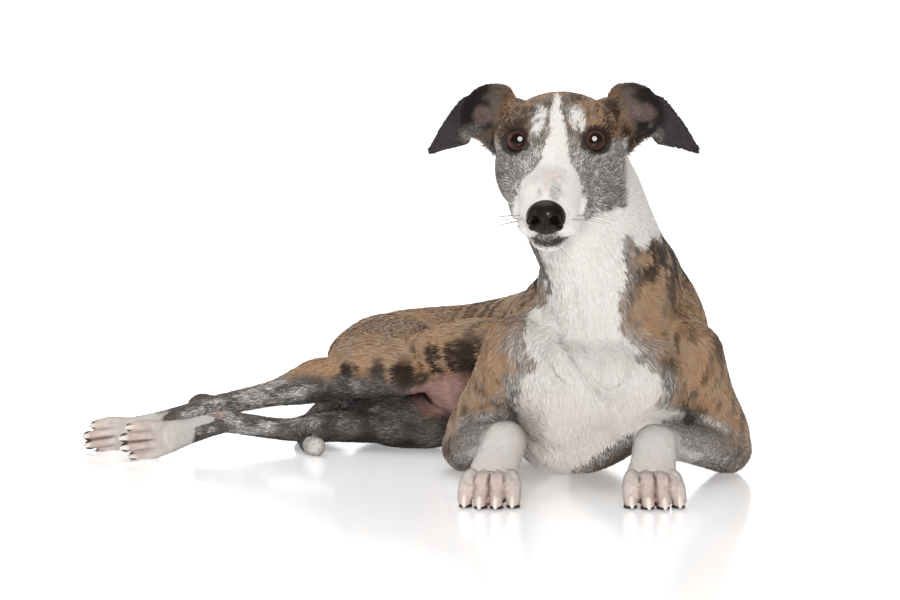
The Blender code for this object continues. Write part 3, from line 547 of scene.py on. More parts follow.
def earSheet(side):  # rows of points from the root to the tip, each from the top to the bottom edge
    flat = [[value for point in row for value in point] for row in earRows]
    sheet = []
    for row in smoothRows(flat, 5):
        top, bottom, bow = Vector(row[:3]), Vector(row[3:6]), Vector(row[6:9])
        line = []
        for share in np.linspace(0, 1, 18):
            place = top.lerp(bottom, share) + bow * math.sin(math.pi * share) ** 0.8
            line.append(earPlace(side, *place))
        sheet.append(line)
    return sheet


def earForm(side):
    mesh = bmesh.new()
    grid = [[mesh.verts.new(place) for place in line] for line in earSheet(side)]
    for near, far in zip(grid, grid[1:]):
        for index in range(len(near) - 1):
            mesh.faces.new((near[index], near[index + 1], far[index + 1], far[index]))
    leather = pieceFrom(mesh, "ear")
    thick = leather.modifiers.new("leather", "SOLIDIFY")
    thick.thickness = head["earThickness"]
    thick.offset = 0
    settle(leather)
    return leather


# Which way the hair lies: points along the body with the hair's direction there


def lieOfTheHair():
    lines = []

    def line(points, steps=6):
        lines.append(smoothRows([list(point) for point in points], steps))

    line([headPlace(0, 0.100, -0.030), headPlace(0, 0.060, -0.020), headPlace(0, 0.020, -0.010),
          headPlace(0, -0.030, -0.006), headPlace(0, -0.080, -0.004), Vector(neckBack[1])])
    for side in (1, -1):
        line([headPlace(0.020 * side, 0.090, -0.050), headPlace(0.026 * side, 0.040, -0.045),
              headPlace(0.044 * side, -0.010, -0.034), headPlace(0.052 * side, -0.050, -0.026)])
        sheet = earSheet(side)
        line([row[9] for row in sheet[::8]], 3)
    line([Vector(point) for point in neckBack])
    line([Vector(point) for point in (*neckFront, (0.140, -0.150, 0.045), (0.146, -0.100, 0.010))])
    line([Vector(row[:3]) + up * 0.05 for row in trunkRows])
    line([Vector(row[:3]) - up * 0.05 for row in trunkRows[1:7]])
    for side in ("left", "right"):
        out = 1 if side == "left" else -1
        fore, hind = ("shoulder", "elbow", "wrist", "foreKnuckle"), ("hip", "knee", "hock", "hindKnuckle")
        shoulder, elbow, wrist, knuckle = (body[name][side] for name in fore)
        line([Vector((0.168 + 0.022 * out, 0.000, 0.205)), shoulder + Vector((0.014 * out, 0.02, 0)),
              elbow + Vector((0.006 * out, 0, 0))], 8)
        line([elbow, wrist, knuckle, knuckle + Vector((0, -0.045, -0.012))], 8)
        hip, knee, hock, knuckle = (body[name][side] for name in hind)
        line([hip, hip.lerp(knee, 0.5) - Vector((0.03, 0, 0))], 6)
        line([knee + Vector((0.01, 0, 0)), hock, knuckle, knuckle + (knuckle - hock).normalized() * 0.04], 8)
    line([Vector(row) for row in tailRows])
    places, ways = [], []
    for dense in lines:
        along = np.gradient(dense, axis=0)
        ways.append(along / np.linalg.norm(along, axis=1)[:, None])
        places.append(dense)
    return np.vstack(places), np.vstack(ways)


hairPlaces, hairWays = lieOfTheHair()


def trunkLengthAt(points):
    dense = smoothRows(trunkRows, 4)[:, :3]
    steps = np.concatenate([[0], np.cumsum(np.linalg.norm(np.diff(dense, axis=0), axis=1))])
    apart = ((points[:, None, :] - dense[None]) ** 2).sum(2)
    weight = 1 / (apart + 1e-5) ** 3
    return weight @ steps / weight.sum(1)


def hairAt(points, normals):  # direction of the hair along the skin
    way = np.empty_like(points)
    for start in range(0, len(points), 20000):
        some = points[start : start + 20000]
        apart = ((some[:, None, :] - hairPlaces[None]) ** 2).sum(2)
        weight = 1 / (apart + 1e-5) ** 2
        weight /= weight.sum(1)[:, None]
        way[start : start + 20000] = weight @ hairWays
    way += (cloud(points, 0.03, 5)[:, None] - 0.5) * np.roll(normals, 1, axis=1) * 0.35
    way -= normals * (way * normals).sum(1)[:, None]
    return way / np.maximum(np.linalg.norm(way, axis=1), 1e-9)[:, None]


# The markings. Numbers across and down are places in the camera's view, and the marks run on
# over the sides that the camera doesn't see.


def seen(points):  # where the camera sees a point, across and down
    scale = lens["focal"] / (points[:, 1] - lens["place"].y)
    return lens["middle"] + points[:, 0] * scale, lens["horizon"] + (lens["place"].z - points[:, 2]) * scale


def squareness(points, normals):  # 1 where the surface faces the camera, 0 edge-on
    towards = np.array(lens["place"]) - points
    return (normals * towards).sum(1) / np.linalg.norm(towards, axis=1)


def nearLine(points, start, end):  # share along a line and distance from it
    start, end = np.array(start), np.array(end)
    along = end - start
    share = (points - start) @ along / (along @ along)
    apart = np.linalg.norm(points - start - np.clip(share, 0, 1)[:, None] * along, axis=1)
    return share, apart


class Marks:  # points of the surface, how the camera sees them, and the marks they get
    def __init__(self, points, normals, chance):
        self.points, self.normals, self.chance = points, normals, chance  # chance picks single hairs
        self.across, self.down = seen(points)
        self.facing = squareness(points, normals)
        self.left, self.forward, self.high = inHead(points).T
        self.ragged = (cloud(points, 0.010, 1) - 0.5) * 10 + (cloud(points, 0.004, 2) - 0.5) * 6
        self.ragged += (chance - 0.5) * 4
        self.patches = cloud(points, 0.009, 18)
        self.white, self.dark, self.roan, self.pink = np.zeros((4, len(points)))

    def oval(self, across, down, wide, tall):  # 0 in the middle of an oval in the view, 1 on its border
        return np.hypot((self.across - across) / wide, (self.down - down) / tall)

    def blot(self, spot, size, spread, ragged):  # 1 inside a soft oval with a ragged border
        return fade(size - self.oval(*spot) + self.ragged * ragged, 0, spread)

    def atLeast(self, mark, amount):
        setattr(self, mark, np.maximum(getattr(self, mark), amount))


headRegion = {  # in the head's own frame
    "throat": -0.047, "crown": -0.098,  # where the neck begins, low and high
    "bottom": -0.105, "half": 0.125, "cheekHalf": 0.0585, "earHalf": 0.1285,
    "middle": (0, 0.02, -0.02), "reach": 0.135,
}
brindle = {
    "stripe": 0.0125, "stripeLength": 0.060, "wander": 0.010, "direction": (0.62, 0.55, 0.56),
    "mottle": 0.0065, "mottleStretch": (1.0, 0.8, 0.42), "blotch": 0.017,
    "share": 0.41, "lightest": 0.08, "darkest": 0.88,
}
chestEdges = {  # heights in the view, and the white chest's borders there
    "down": (225, 256, 275, 289, 303, 312, 328, 345, 357, 366, 373, 393, 414, 421, 425, 440, 456, 473, 480),
    "left": (532, 541, 546, 548, 545, 531, 526, 525, 530, 539, 522, 518, 517, 516, 516, 516, 516, 516, 516),
    "right": (628, 623, 621, 620, 619, 614, 619, 634, 638, 645, 661, 662, 660, 648, 640, 617, 593, 567, 556),
}
collarLook = {  # the white that goes on round the neck rises towards the back
    "height": 0.235, "rise": 0.30, "riseFrom": -0.10, "riseLength": 0.09, "waves": 0.022, "ridge": 0.024,
}
legLook = {
    "left": {"wristEdge": 0.84, "footEdge": 0.60, "footTop": 0.38},
    "right": {"wristEdge": 0.80, "footEdge": 0.84, "footTop": 0.0},
}
haunchEdge = {"down": 378, "slope": 0.19, "from": 340, "length": 200}  # where the right leg turns dark
blazeEdges = {
    "down": (92, 98, 105, 120, 141, 160, 180, 190, 200, 215, 250),
    "middle": (557, 557, 557, 557, 556.5, 555.5, 553, 551, 549, 547, 547),
    "half": (-4, 2.5, 4.5, 7, 9.5, 15, 25, 28, 31, 35, 37),
}
faceSpots = {  # across, down, half width, half height
    "brows": ((538, 123, 8.0, 15, -0.25), (577, 123, 10, 15, 0.30)),  # and how they lean
    "forehead": (556, 112, 26, 20), "chin": (548, 239, 24, 9.0),
    "greyOfMuzzle": ((539, 194, 6, 7, 0.7, 0.9, 0.12), (556, 190, 11, 10, 1.0, 0.9, 0.12),
                     (548, 180, 20, 16, 0.45, 1, 0.1)),  # and amount, spread and raggedness
    "pinkOfMuzzle": ((551, 178, 9, 6.5), (546, 189, 3.2, 7)),
    "earCups": {-1: (483.5, 116, 9.5, 10.5), 1: (641, 113, 15, 9.5)},
}
bareSkin = {"belly": (442, 392, 32, 27), "hock": (220, 413, 8, 6), "flankAcross": (398, 424, 448, 470),
            "flankDown": (397, 384, 373, 363)}
toeClefts = {-1: (0.55, 0.45), 0: (1.0, 1.0), 1: (0.55, 0.45)}  # how warm each is, and how much painted shade darkens it


def mouthGap(local):  # height above the line between the lips, for skin in front of its corners
    left, forward, high = local.T
    line = np.interp(forward, (0.02, 0.04, 0.06, 0.08, 0.105), (-0.0505, -0.0535, -0.0575, -0.0618, -0.0632))
    line += 0.11 * np.abs(left) * fade(forward, 0.075, 0.090)
    return np.where((forward > 0.022) & (np.abs(left) < 0.045), high - line, 0.1)


def findHead(at):  # 1 on the head and ears, 0 on the neck and body
    region = headRegion
    nape = region["throat"] + (region["crown"] - region["throat"]) * fade(at.high, -0.030, 0.000)
    at.beforeNape = at.forward - nape
    at.head = fade(at.beforeNape, -0.003, 0.004) * fade(at.high, region["bottom"], region["bottom"] + 0.010)
    at.head *= fade(region["half"] - np.abs(at.left), 0, 0.01)
    middle = np.array(region["middle"])
    at.head *= fade(region["reach"] - np.linalg.norm(inHead(at.points) - middle, axis=1), -0.004, 0.004)
    half = region["cheekHalf"] + (region["earHalf"] - region["cheekHalf"]) * fade(at.high, -0.032, -0.020)
    at.head *= fade(half - np.abs(at.left), -0.002, 0.003)


def brindleCoat(at):  # dark stripes round trunk and haunch, a finer mottle on shoulders and forelegs
    look, points = brindle, at.points
    wave = (cloud(points, 0.024, 14) - 0.5) * look["wander"]
    along = (trunkLengthAt(points) + wave) / look["stripe"]
    stripes = cloud(points / look["stripeLength"] + along[:, None] * np.array(look["direction"]), 1.0, 3)
    stripes = stripes * 0.8 + 0.2 * cloud(points, 0.006, 15)
    mottle = cloud(points * np.array(look["mottleStretch"]), look["mottle"], 16) * 0.6
    mottle += cloud(points, look["blotch"], 17) * 0.4
    fore = fade(-points[:, 1], -0.07, 0.0)
    stripes = stripes * (1 - fore) + mottle * fore
    stripes += 0.16 * (cloud(points, 0.005, 4) - 0.5) + 0.14 * (cloud(points, 0.003, 23) - 0.5)
    stripes += 0.14 * (at.chance - 0.5)
    low = fade(-points[:, 2], -0.216, -0.178)  # the arms are lighter than the shoulders' tops
    # painted light from above: behind the shoulders, skin that faces up gets fewer and softer stripes
    top = fade(at.normals[:, 2], 0.15, 0.70) * (1 - fore)
    middle = look["share"] - 0.03 * fore * (1 - low) + 0.20 * fore * low
    middle += top * (0.22 + 0.16 * fade(-points[:, 0], -0.03, 0.05))
    soft = 0.26 * fore * low + 0.20 * top
    at.dark = look["lightest"] + (look["darkest"] - soft) * fade(stripes, middle - 0.18, middle + 0.16)
    # painted highlight: the up-facing rump is lightened further
    at.dark *= 1 - 0.55 * top * fade(-points[:, 0], -0.05, 0.05)


def whiteChest(at):  # with a rim of roan: single white hairs among the dark ones
    x, y, z = at.points.T
    fromLeft = at.across - np.interp(at.down, chestEdges["down"], chestEdges["left"])
    fromRight = np.interp(at.down, chestEdges["down"], chestEdges["right"]) - at.across
    inside = np.minimum(fromLeft, fromRight) + at.ragged
    front = fade(at.facing, -0.05, 0.10) * fade(-y, 0.02, 0.05)
    at.chest = fade(inside, -2, 2) * front * fade(at.down, 205, 215)
    under = fade(-at.normals[:, 2], 0.55, 0.75) * fade(-np.abs(x - 0.14), -0.07, -0.05)
    under *= fade(-z, -0.06, -0.04) * fade(-y, -0.05, -0.02) * fade(fromRight + at.ragged, -2, 2)
    look = collarLook
    edge = look["height"] + look["rise"] * np.clip(y - look["riseFrom"], 0, look["riseLength"])
    edge += look["waves"] * (cloud(at.points, 0.028, 25) - 0.5)
    collar = fade(z + at.ragged * 0.0006 - edge, -0.003, 0.003)
    ridge = fade(at.beforeNape, -0.075, -0.02) * fade(look["ridge"] - np.abs(at.left), -0.006, 0.006)
    collar *= 1 - ridge * fade(at.high, -0.05, -0.02)  # the top of the nape keeps the skull's colour
    at.white = np.maximum(np.maximum(at.chest, under), collar)
    at.roan = fade(inside, -30, -3) * front * (1 - fade(-at.down, -345, -305)) * 0.38
    at.atLeast("roan", 0.20 * fade(inside, -18, -3) * front)
    shaded = front * fade(at.down, 398, 425) * fade(at.across, 560, 600) * fade(-at.across, -690, -650)
    at.atLeast("dark", 0.86 * shaded)  # painted shade on the skin in the crease between the chest and the left foreleg


def legMarks(at, side):
    look, points, left = legLook[side], at.points, side == "left"
    share, apart = nearLine(points, body["elbow"][side], body["wrist"][side])
    onLeg = fade(-apart, -0.036, -0.029)
    share = share + fade(-at.normals[:, 2], 0.1, 0.6) * 0.30
    at.atLeast("white", onLeg * fade(share + at.ragged * 0.008, look["wristEdge"], look["wristEdge"] + 0.04))
    at.atLeast("roan", onLeg * (0.12 + 0.46 * fade(share, 0.20, 0.80)))

    share, apart = nearLine(points, body["hock"][side], body["hindKnuckle"][side])
    onFoot = fade(-apart, -0.075, -0.055)
    top = fade(at.normals[:, 2], 0.2, 0.8) * look["footTop"]
    whiteFoot = fade(share + top + at.ragged * 0.010, look["footEdge"], look["footEdge"] + 0.05)
    at.atLeast("white", onFoot * whiteFoot)
    if not left:
        at.atLeast("dark", onFoot * fade(share, -0.45, -0.10) * 0.84)
        at.atLeast("roan", onFoot * fade(share, -0.45, -0.10) * 0.10)

    share, apart = nearLine(points, body["knee"][side], body["hock"][side])
    onShank = fade(-apart, -0.060, -0.040)
    below = at.down - haunchEdge["down"] + at.ragged * 0.8
    below -= haunchEdge["slope"] * np.clip(haunchEdge["from"] - at.across, 0, haunchEdge["length"])
    lowerPart = 1.0 if left else fade(below, -5, 7)
    speckle = 0.5 + 1.2 * fade(cloud(points * np.array((0.5, 1, 1)), 0.008, 19), 0.45, 0.75)
    amount = (0.01 + 0.34 * fade(share, 0.40, 0.75)) if left else 0.13 * lowerPart
    roan = fade(share, -0.1, 0.25) * amount * speckle
    if not left:  # a pale streak along the edge of the dark
        streak = np.exp(-(((below - 9) / 6) ** 2)) * fade(haunchEdge["from"] - at.across, 0, 40)
        roan = np.maximum(roan, 0.66 * streak * (0.4 + speckle / 2))
    at.atLeast("roan", onShank * roan)
    at.atLeast("dark", onShank * fade(share, -0.3, 0.2) * lowerPart * 0.96)


def pawAndTailMarks(at):
    for paw in paws.values():
        apart = np.linalg.norm(inPaw(at.points, paw) - np.array((0, 0.02, -0.01)), axis=1)
        at.atLeast("white", fade(-apart, -0.058, -0.050))
    share, apart = nearLine(at.points, Vector(tailRows[-2]), Vector(tailRows[-1]))
    at.atLeast("white", fade(-apart, -0.016, -0.013) * fade(share, 0.25, 0.40))


def haunchMarks(at):  # lighter on top and dark below
    x, y = at.points[:, 0], at.points[:, 1]
    below = at.down - haunchEdge["slope"] * np.clip(haunchEdge["from"] - at.across, 0, haunchEdge["length"])
    below += (cloud(at.points, 0.03, 8) - 0.5) * 24
    at.low = fade(-x, -0.10, 0.0) * fade(y, 0.10, 0.16) * fade(below, 373, 394)
    at.atLeast("dark", at.low * 0.88)
    at.atLeast("roan", at.low * 0.12 * fade(cloud(at.points, 0.022, 9), 0.35, 0.6))


def browMarks(at):
    brows = np.zeros(len(at.points))
    for across, down, wide, tall, lean in faceSpots["brows"]:
        over, under = at.across - across, at.down - down
        apart = np.hypot((over - lean * under) / wide, under / tall)
        brows = np.maximum(brows, fade(1.25 - apart + at.ragged * 0.05, 0.0, 0.8))
    brows *= fade(at.facing, 0, 0.2) * fade(at.forward, -0.06, -0.04)
    return brows * (0.30 + 0.85 * fade(cloud(at.points * np.array((1.0, 0.5, 0.30)), 0.0026, 24), 0.25, 0.60))


def faceMarks(at):
    half = np.interp(at.down, blazeEdges["down"], blazeEdges["half"])
    centre = np.interp(at.down, blazeEdges["down"], blazeEdges["middle"])
    blaze = fade(half - np.abs(at.across - centre) + at.ragged * 0.55, -2.0, 2.0)
    blaze *= fade(at.forward, -0.066, -0.054)
    below = fade(-at.high - 0.066 + at.forward * 0.08 + at.ragged * 0.0004, 0.000, 0.005)
    muzzle = fade(at.forward + at.ragged * 0.0008, 0.052, 0.058) * fade(586 - at.across + at.ragged, 0, 4)
    muzzle *= fade(at.across - np.interp(at.down, (190, 215, 240), (521, 516, 510)) + at.ragged, -2, 2)
    brows = browMarks(at)
    white = np.maximum(np.maximum(np.maximum(blaze, below), muzzle), brows * 0.80)

    grey = fade(at.down + at.ragged * 1.6 - 0.16 * np.abs(at.across - 556), 126, 150)
    grey *= 0.20 + 0.34 * at.patches
    grey = np.maximum(grey, fade(-at.oval(556, 126, 1, 1 / 0.9), -34, -12) * 0.30 * at.patches)
    grey = np.maximum(grey, brows)
    darker = fade(at.across, 598, 616) * fade(at.down, 170, 200)  # towards both cheeks' edges
    darker += fade(-at.across, -512, -498) * fade(at.down, 150, 180)
    grey = grey * (1 - 0.55 * np.clip(darker, 0, 1))

    fine = cloud(at.points * np.array((1.0, 0.5, 0.6)), 0.0035, 6) * 0.5 + cloud(at.points, 0.013, 7) * 0.5
    dark = 0.36 + 0.56 * fade(fine + 0.35 * (at.chance - 0.5), 0.32, 0.64)
    dark = np.maximum(dark, fade(at.down, 134, 158) * 0.90)
    dark = np.maximum(dark, 0.85 * fade(-at.oval(*faceSpots["forehead"]), -1.0, -0.4))
    at.white = at.white * (1 - at.head) + white * at.head
    at.roan = at.roan * (1 - at.head) + grey * at.head
    at.dark = at.dark * (1 - at.head) + dark * at.head


def rimMarks(at):  # dark round the eyes, drawn out to their inner corners
    at.rim = np.zeros(len(at.points))
    for side in (1, -1):
        x, y, z = ((at.points - np.array(eyePlace(side))) @ np.array(eyeAxes(side))).T
        apart = np.hypot(x, z * 1.08)
        inner = np.hypot(x - 0.0125 * side, z + 0.0035) + 0.0095
        apart = np.minimum(apart, inner) + at.ragged * 0.00006
        at.rim = np.maximum(at.rim, fade(-apart, -0.0154, -0.0134) * (y > 0) * at.head)
    at.atLeast("dark", at.rim)
    at.white *= 1 - at.rim
    at.roan *= 1 - at.rim * 0.9


def mouthMarks(at):
    nearMiddle = 0.017 - np.abs(at.left)
    thick = 0.0024 * fade(nearMiddle, 0, 0.009) + (at.chance - 0.5) * 0.0022
    apart = np.abs(mouthGap(inHead(at.points)) - 0.0006)
    lips = fade(-apart, -0.0032 - thick, -0.0008 - thick * 0.5) * at.head * fade(at.forward, 0.030, 0.060)
    solid = (0.50 + 0.45 * fade(nearMiddle, 0, 0.006)) * (0.90 + 0.10 * fade(at.chance, 0.2, 0.5))
    at.white *= 1 - lips * solid
    at.roan *= 1 - lips
    at.atLeast("dark", lips)
    inView = fade(at.facing, 0, 0.2) * at.head
    chin = fade(-at.oval(*faceSpots["chin"]), -1.1, -0.5) * inView
    above = np.zeros(len(at.points))
    for *spot, amount, spread, ragged in faceSpots["greyOfMuzzle"]:
        above = np.maximum(above, amount * at.blot(spot, 1.2, spread, ragged))
    above *= inView * (0.5 + at.chance)
    at.white = at.white * (1 - 0.72 * chin * fade(at.chance, 0.15, 0.6)) * (1 - 0.50 * above)


def onEar(points, side):  # 1 on the ear's leather past its root
    sheet = np.array([[list(place) for place in line] for line in earSheet(side)])[::2, ::2]
    flat = sheet.reshape(-1, 3)
    apart, rowAt = np.full(len(points), 1.0), np.zeros(len(points))
    near = np.where(distance(points, flat.mean(0)) < 0.075)[0]
    for start in range(0, len(near), 20000):
        some = near[start : start + 20000]
        gap = np.sqrt(((points[some][:, None] - flat[None]) ** 2).sum(2))
        apart[some] = gap.min(1)
        rowAt[some] = gap.argmin(1) // sheet.shape[1] / (sheet.shape[0] - 1)
    return fade(-apart, -0.0062, -0.0040) * fade(rowAt, 0.10, 0.22)


def earMarks(at):  # black, with brindle near the skull and paler inside the cups
    at.ear, at.cup = np.zeros((2, len(at.points)))
    for side in (1, -1):
        on = onEar(at.points, side)
        at.ear = np.maximum(at.ear, on)
        cup = at.blot(faceSpots["earCups"][side], 1.25, 0.5, 0.03)
        at.cup = np.maximum(at.cup, on * cup * fade(-at.normals[:, 1], -0.1, 0.3))
    top = fade(0.072 - np.abs(at.left) + (at.patches - 0.5) * 0.02, 0, 0.012) * (1 - at.cup)
    at.dark = at.dark * (1 - at.ear) + at.ear * (1 - top * 0.75)
    roots = np.hypot((np.abs(at.across - 561) - 88) / 13, (at.down - 134) / 12)
    hairy = fade(-roots, -1.2, -0.5) * fade(at.patches, 0.3, 0.6)
    at.roan = at.roan * (1 - at.ear) + at.ear * (0.018 + 0.20 * hairy + 0.09 * at.cup)
    at.white *= 1 - at.ear


def bareMarks(at):  # bare belly, pink spots on the muzzle, warm skin on the chest
    edge = np.interp(at.across, bareSkin["flankAcross"], bareSkin["flankDown"])
    at.pink = at.blot(bareSkin["belly"], 1.15, 0.45, 0.02) * 0.86
    at.pink *= fade(at.down - edge + at.ragged * 0.5, -3, 3)
    at.pink *= fade(at.facing, -0.1, 0.1) * fade(at.points[:, 1], 0.0, 0.05)
    large, small = faceSpots["pinkOfMuzzle"]
    spot = np.maximum(at.blot(large, 1.1, 0.5, 0.04), at.blot(small, 1.1, 0.5, 0.0))
    at.atLeast("pink", 0.34 * spot * at.head)
    at.atLeast("pink", at.cup * 0.34)
    at.atLeast("pink", 0.16 * at.chest * fade(at.down + (cloud(at.points, 0.03, 21) - 0.5) * 40, 372, 410))


def toeMarks(at):  # warm skin on the toes, and painted shade in the clefts between them
    toes, cleftShade = np.zeros((2, len(at.points)))
    for paw in paws.values():
        side, ahead, over = inPaw(at.points, paw).T
        length = paw["length"]
        onPaw = (np.abs(over) < 0.03) * (np.abs(side) < 0.035)
        onPaw = onPaw * fade(ahead, -0.01, 0.01) * fade(0.08 - ahead, 0, 0.01)
        at.atLeast("pink", onPaw * (0.22 + 0.35 * fade(ahead, length * 0.4, length)))
        for number, (warm, black) in toeClefts.items():
            middle = cleftAt(paw, number, ahead)
            near = np.exp(-(((side - middle) / 0.0017) ** 2)) * fade(ahead, length * 0.42, length * 0.70)
            toes = np.maximum(toes, near * warm * onPaw)
            # painted shade down each cleft between the toes, strongest in the middle one
            cleft = np.exp(-(((side - middle) / 0.0010) ** 2)) * fade(ahead, length * 0.30, length * 0.60)
            cleftShade = np.maximum(cleftShade, cleft * onPaw * black)
        toes = np.maximum(toes, 0.42 * onPaw * fade(ahead, length * 0.62, length * 1.0))
        if paw["onSide"]:
            bare = fade(cloud(at.points, 0.006, 22), 0.5, 0.75) * fade(ahead, 0.0, 0.03)
            toes = np.maximum(toes, 0.35 * onPaw * bare)
    # the clefts' painted shade takes out the white and darkens the coat there
    at.white = at.white * (1 - 0.55 * toes) * (1 - 0.80 * cleftShade)
    at.atLeast("dark", 0.80 * cleftShade)
    at.atLeast("pink", toes * (1 - 0.5 * cleftShade))
    hock = at.blot(bareSkin["hock"], 1.3, 0.6, 0.03) * 0.6 * fade(0.215 - at.points[:, 1], -0.002, 0.002)
    at.atLeast("pink", hock)
    at.atLeast("roan", hock * 0.5)


def markings(points, normals, chance):  # white, dark, grey and pink, and where head, ears and rims are
    at = Marks(points, normals, chance)
    findHead(at)
    brindleCoat(at)
    whiteChest(at)
    for side in ("left", "right"):
        legMarks(at, side)
    pawAndTailMarks(at)
    haunchMarks(at)
    faceMarks(at)
    rimMarks(at)
    mouthMarks(at)
    earMarks(at)
    bareMarks(at)
    toeMarks(at)
    at.atLeast("white", np.clip(at.roan * (0.30 + 2.1 * chance**2), 0, 1))
    grey = np.clip(at.roan * 3.2 + at.low * 0.25, 0, 1) * (1 - at.ear) + at.ear
    return {"marks": np.stack([at.white, at.dark, grey, at.pink], 1), "ear": at.ear, "cup": at.cup,
            "head": at.head, "rim": at.rim}


# The skin: all forms joined, remeshed into one surface, relaxed, pressed in by the coat's depth
# and sculpted.


def finerPlaces():  # the head and paws are remeshed at twice their size
    places = [(np.array(head["eyes"]) + np.array((0.0, 0.02, -0.01)), 0.150)]
    places += [(np.array(pawPlace(paw, 0, 0.022, -0.006)), 0.045) for paw in paws.values()]
    done = []
    for centre, reach in places:
        done.append((magnify(centre[None], done)[0], reach))
    return done


def magnify(corners, places, back=False):
    for centre, reach in reversed(places) if back else places:
        offset = corners - centre
        size = np.linalg.norm(offset, axis=1)
        if back:
            wanted = np.where(size < 2 * reach, size / 2, size - reach)
        else:
            wanted = np.where(size < reach, size * 2, size + reach)
        corners = centre + offset * (wanted / np.maximum(size, 1e-9))[:, None]
    return corners


furrows = (  # lines in the view where the skin folds in: points, depth, half width in the view
    (((541, 352), (549, 368), (560, 382), (572, 390)), 0.0060, 5.0),
    (((586, 368), (594, 382), (606, 392), (620, 390), (633, 376)), 0.0085, 6.2),
    (((566, 262), (574, 300), (584, 335), (591, 366)), 0.0024, 6.0),
    (((604, 250), (604, 290), (602, 330), (596, 366)), 0.0018, 6.0),
    (((546, 300), (556, 325), (568, 348), (580, 368)), 0.0034, 5.0),
    (((664, 424), (680, 420), (697, 417), (714, 414)), 0.0040, 3.0),
    (((462, 420), (478, 409), (500, 407), (516, 416)), 0.0030, 3.0),
    (((424, 383), (440, 376), (452, 370)), 0.0030, 3.0),
    (((420, 396), (440, 400), (452, 402)), 0.0018, 3.0),
    (((640, 300), (662, 330), (676, 356), (684, 384)), 0.0016, 7.0),
    (((700, 330), (694, 360), (700, 390), (714, 412)), 0.0018, 7.0),
    (((352, 345), (372, 360), (392, 372), (420, 378)), 0.0016, 8.0),
)
faceDents = (  # place in the head's frame, depth and size
    ((0.0195, 0.0165, -0.010), 0.0014, 0.0042),  # tear trough
    ((0.0345, 0.012, -0.0175), 0.0008, 0.005),  # fold under the eye
)
cleftDepths = {-1: 0.0024, 0: 0.0034, 1: 0.0024}  # from the outer toes' cleft to the inner one's
skinLook = {
    "voxel": 0.0023,  # head and paws get half of this
    "triangles": 192000,
    "coatDepth": 0.0013, "faceDepth": 0.0006,  # below the coat's surface; the second also on the paws
    "rounds": 26, "offFloor": 0.0006,
}


def foldsIn(corners, normals):
    across, down = seen(corners)
    facing = squareness(corners, normals)
    change = np.zeros(len(corners))
    for points, depth, half in furrows:
        dense = smoothRows([list(point) for point in points], 6)
        low, high = dense.min(0) - 20, dense.max(0) + 20
        near = (across > low[0]) & (across < high[0]) & (down > low[1]) & (down < high[1]) & (facing > 0)
        near = np.where(near)[0]
        gap = np.hypot(across[near][:, None] - dense[:, 0], down[near][:, None] - dense[:, 1])
        at = gap.argmin(1)
        ends = np.sin(np.clip((at + 1) / (len(dense) + 1), 0, 1) * math.pi) ** 0.6
        change[near] -= depth * np.exp(-((gap.min(1) / half) ** 2)) * ends * fade(facing[near], 0, 0.3)
    return change


def faceRelief(corners):
    local = inHead(corners)
    gap = mouthGap(local)
    change = 0.0007 * np.exp(-(((gap - 0.0040) / 0.0022) ** 2)) - 0.0024 * np.exp(-((gap / 0.0012) ** 2))
    left, forward, high = local.T
    brow = fade(high, -0.02, 0.0) * fade(forward, -0.05, -0.03) * fade(-forward, -0.02, 0.0)
    change -= 0.0016 * np.exp(-((left / 0.005) ** 2)) * brow
    change -= 0.0006 * np.exp(-((left / 0.0012) ** 2)) * fade(forward, 0.094, 0.099) * fade(-high, 0.046, 0.05)
    for side in (1, -1):
        for place, depth, size in faceDents:
            spot = np.array((place[0] * side, place[1], place[2]))
            change -= depth * np.exp(-(((local - spot) ** 2).sum(1) / size**2))
    return change


def pawRelief(corners, paw):  # clefts between the toes, and knuckles that stand out
    local = inPaw(corners, paw)
    side, ahead, over = local.T
    length, drop = paw["length"], paw["drop"]
    change = np.zeros(len(corners))
    for number, depth in cleftDepths.items():
        groove = np.exp(-(((side - cleftAt(paw, number, ahead)) / 0.0013) ** 2))
        groove *= fade(over, -drop * 1.1, -drop * 0.7)
        groove *= fade(ahead, length * 0.36, length * 0.66) * fade(0.075 - ahead, 0, 0.01)
        change -= depth * groove * (np.abs(over) < 0.03) * (0.6 if paw["onSide"] else 1.0)
    for number in range(4):
        place = ((number - 1.5) * paw["pitch"] * 1.05, length * (0.55 if number in (1, 2) else 0.42), 0.002)
        apart = np.linalg.norm((local - np.array(place)) / np.array((0.9, 1.6, 1.4)), axis=1)
        change += 0.0008 * np.exp(-((apart / 0.0045) ** 2))
    return change


def joinedForms():
    mesh = bmesh.new()
    trunkForm(mesh)
    neckForm(mesh)
    headForm(mesh)
    for side in ("left", "right"):
        shoulderForm(mesh, side)
        forearmForm(mesh, side)
        hindLegForm(mesh, side)
        hindPasternForm(mesh, side)
    for paw in paws.values():
        pawForm(mesh, paw)
    skin = pieceFrom(mesh, "skin")
    parts = [skin, earForm(1), earForm(-1)]
    deselect()
    for part in parts:
        part.select_set(True)
    bpy.context.view_layer.objects.active = skin
    bpy.ops.object.join()
    return skin


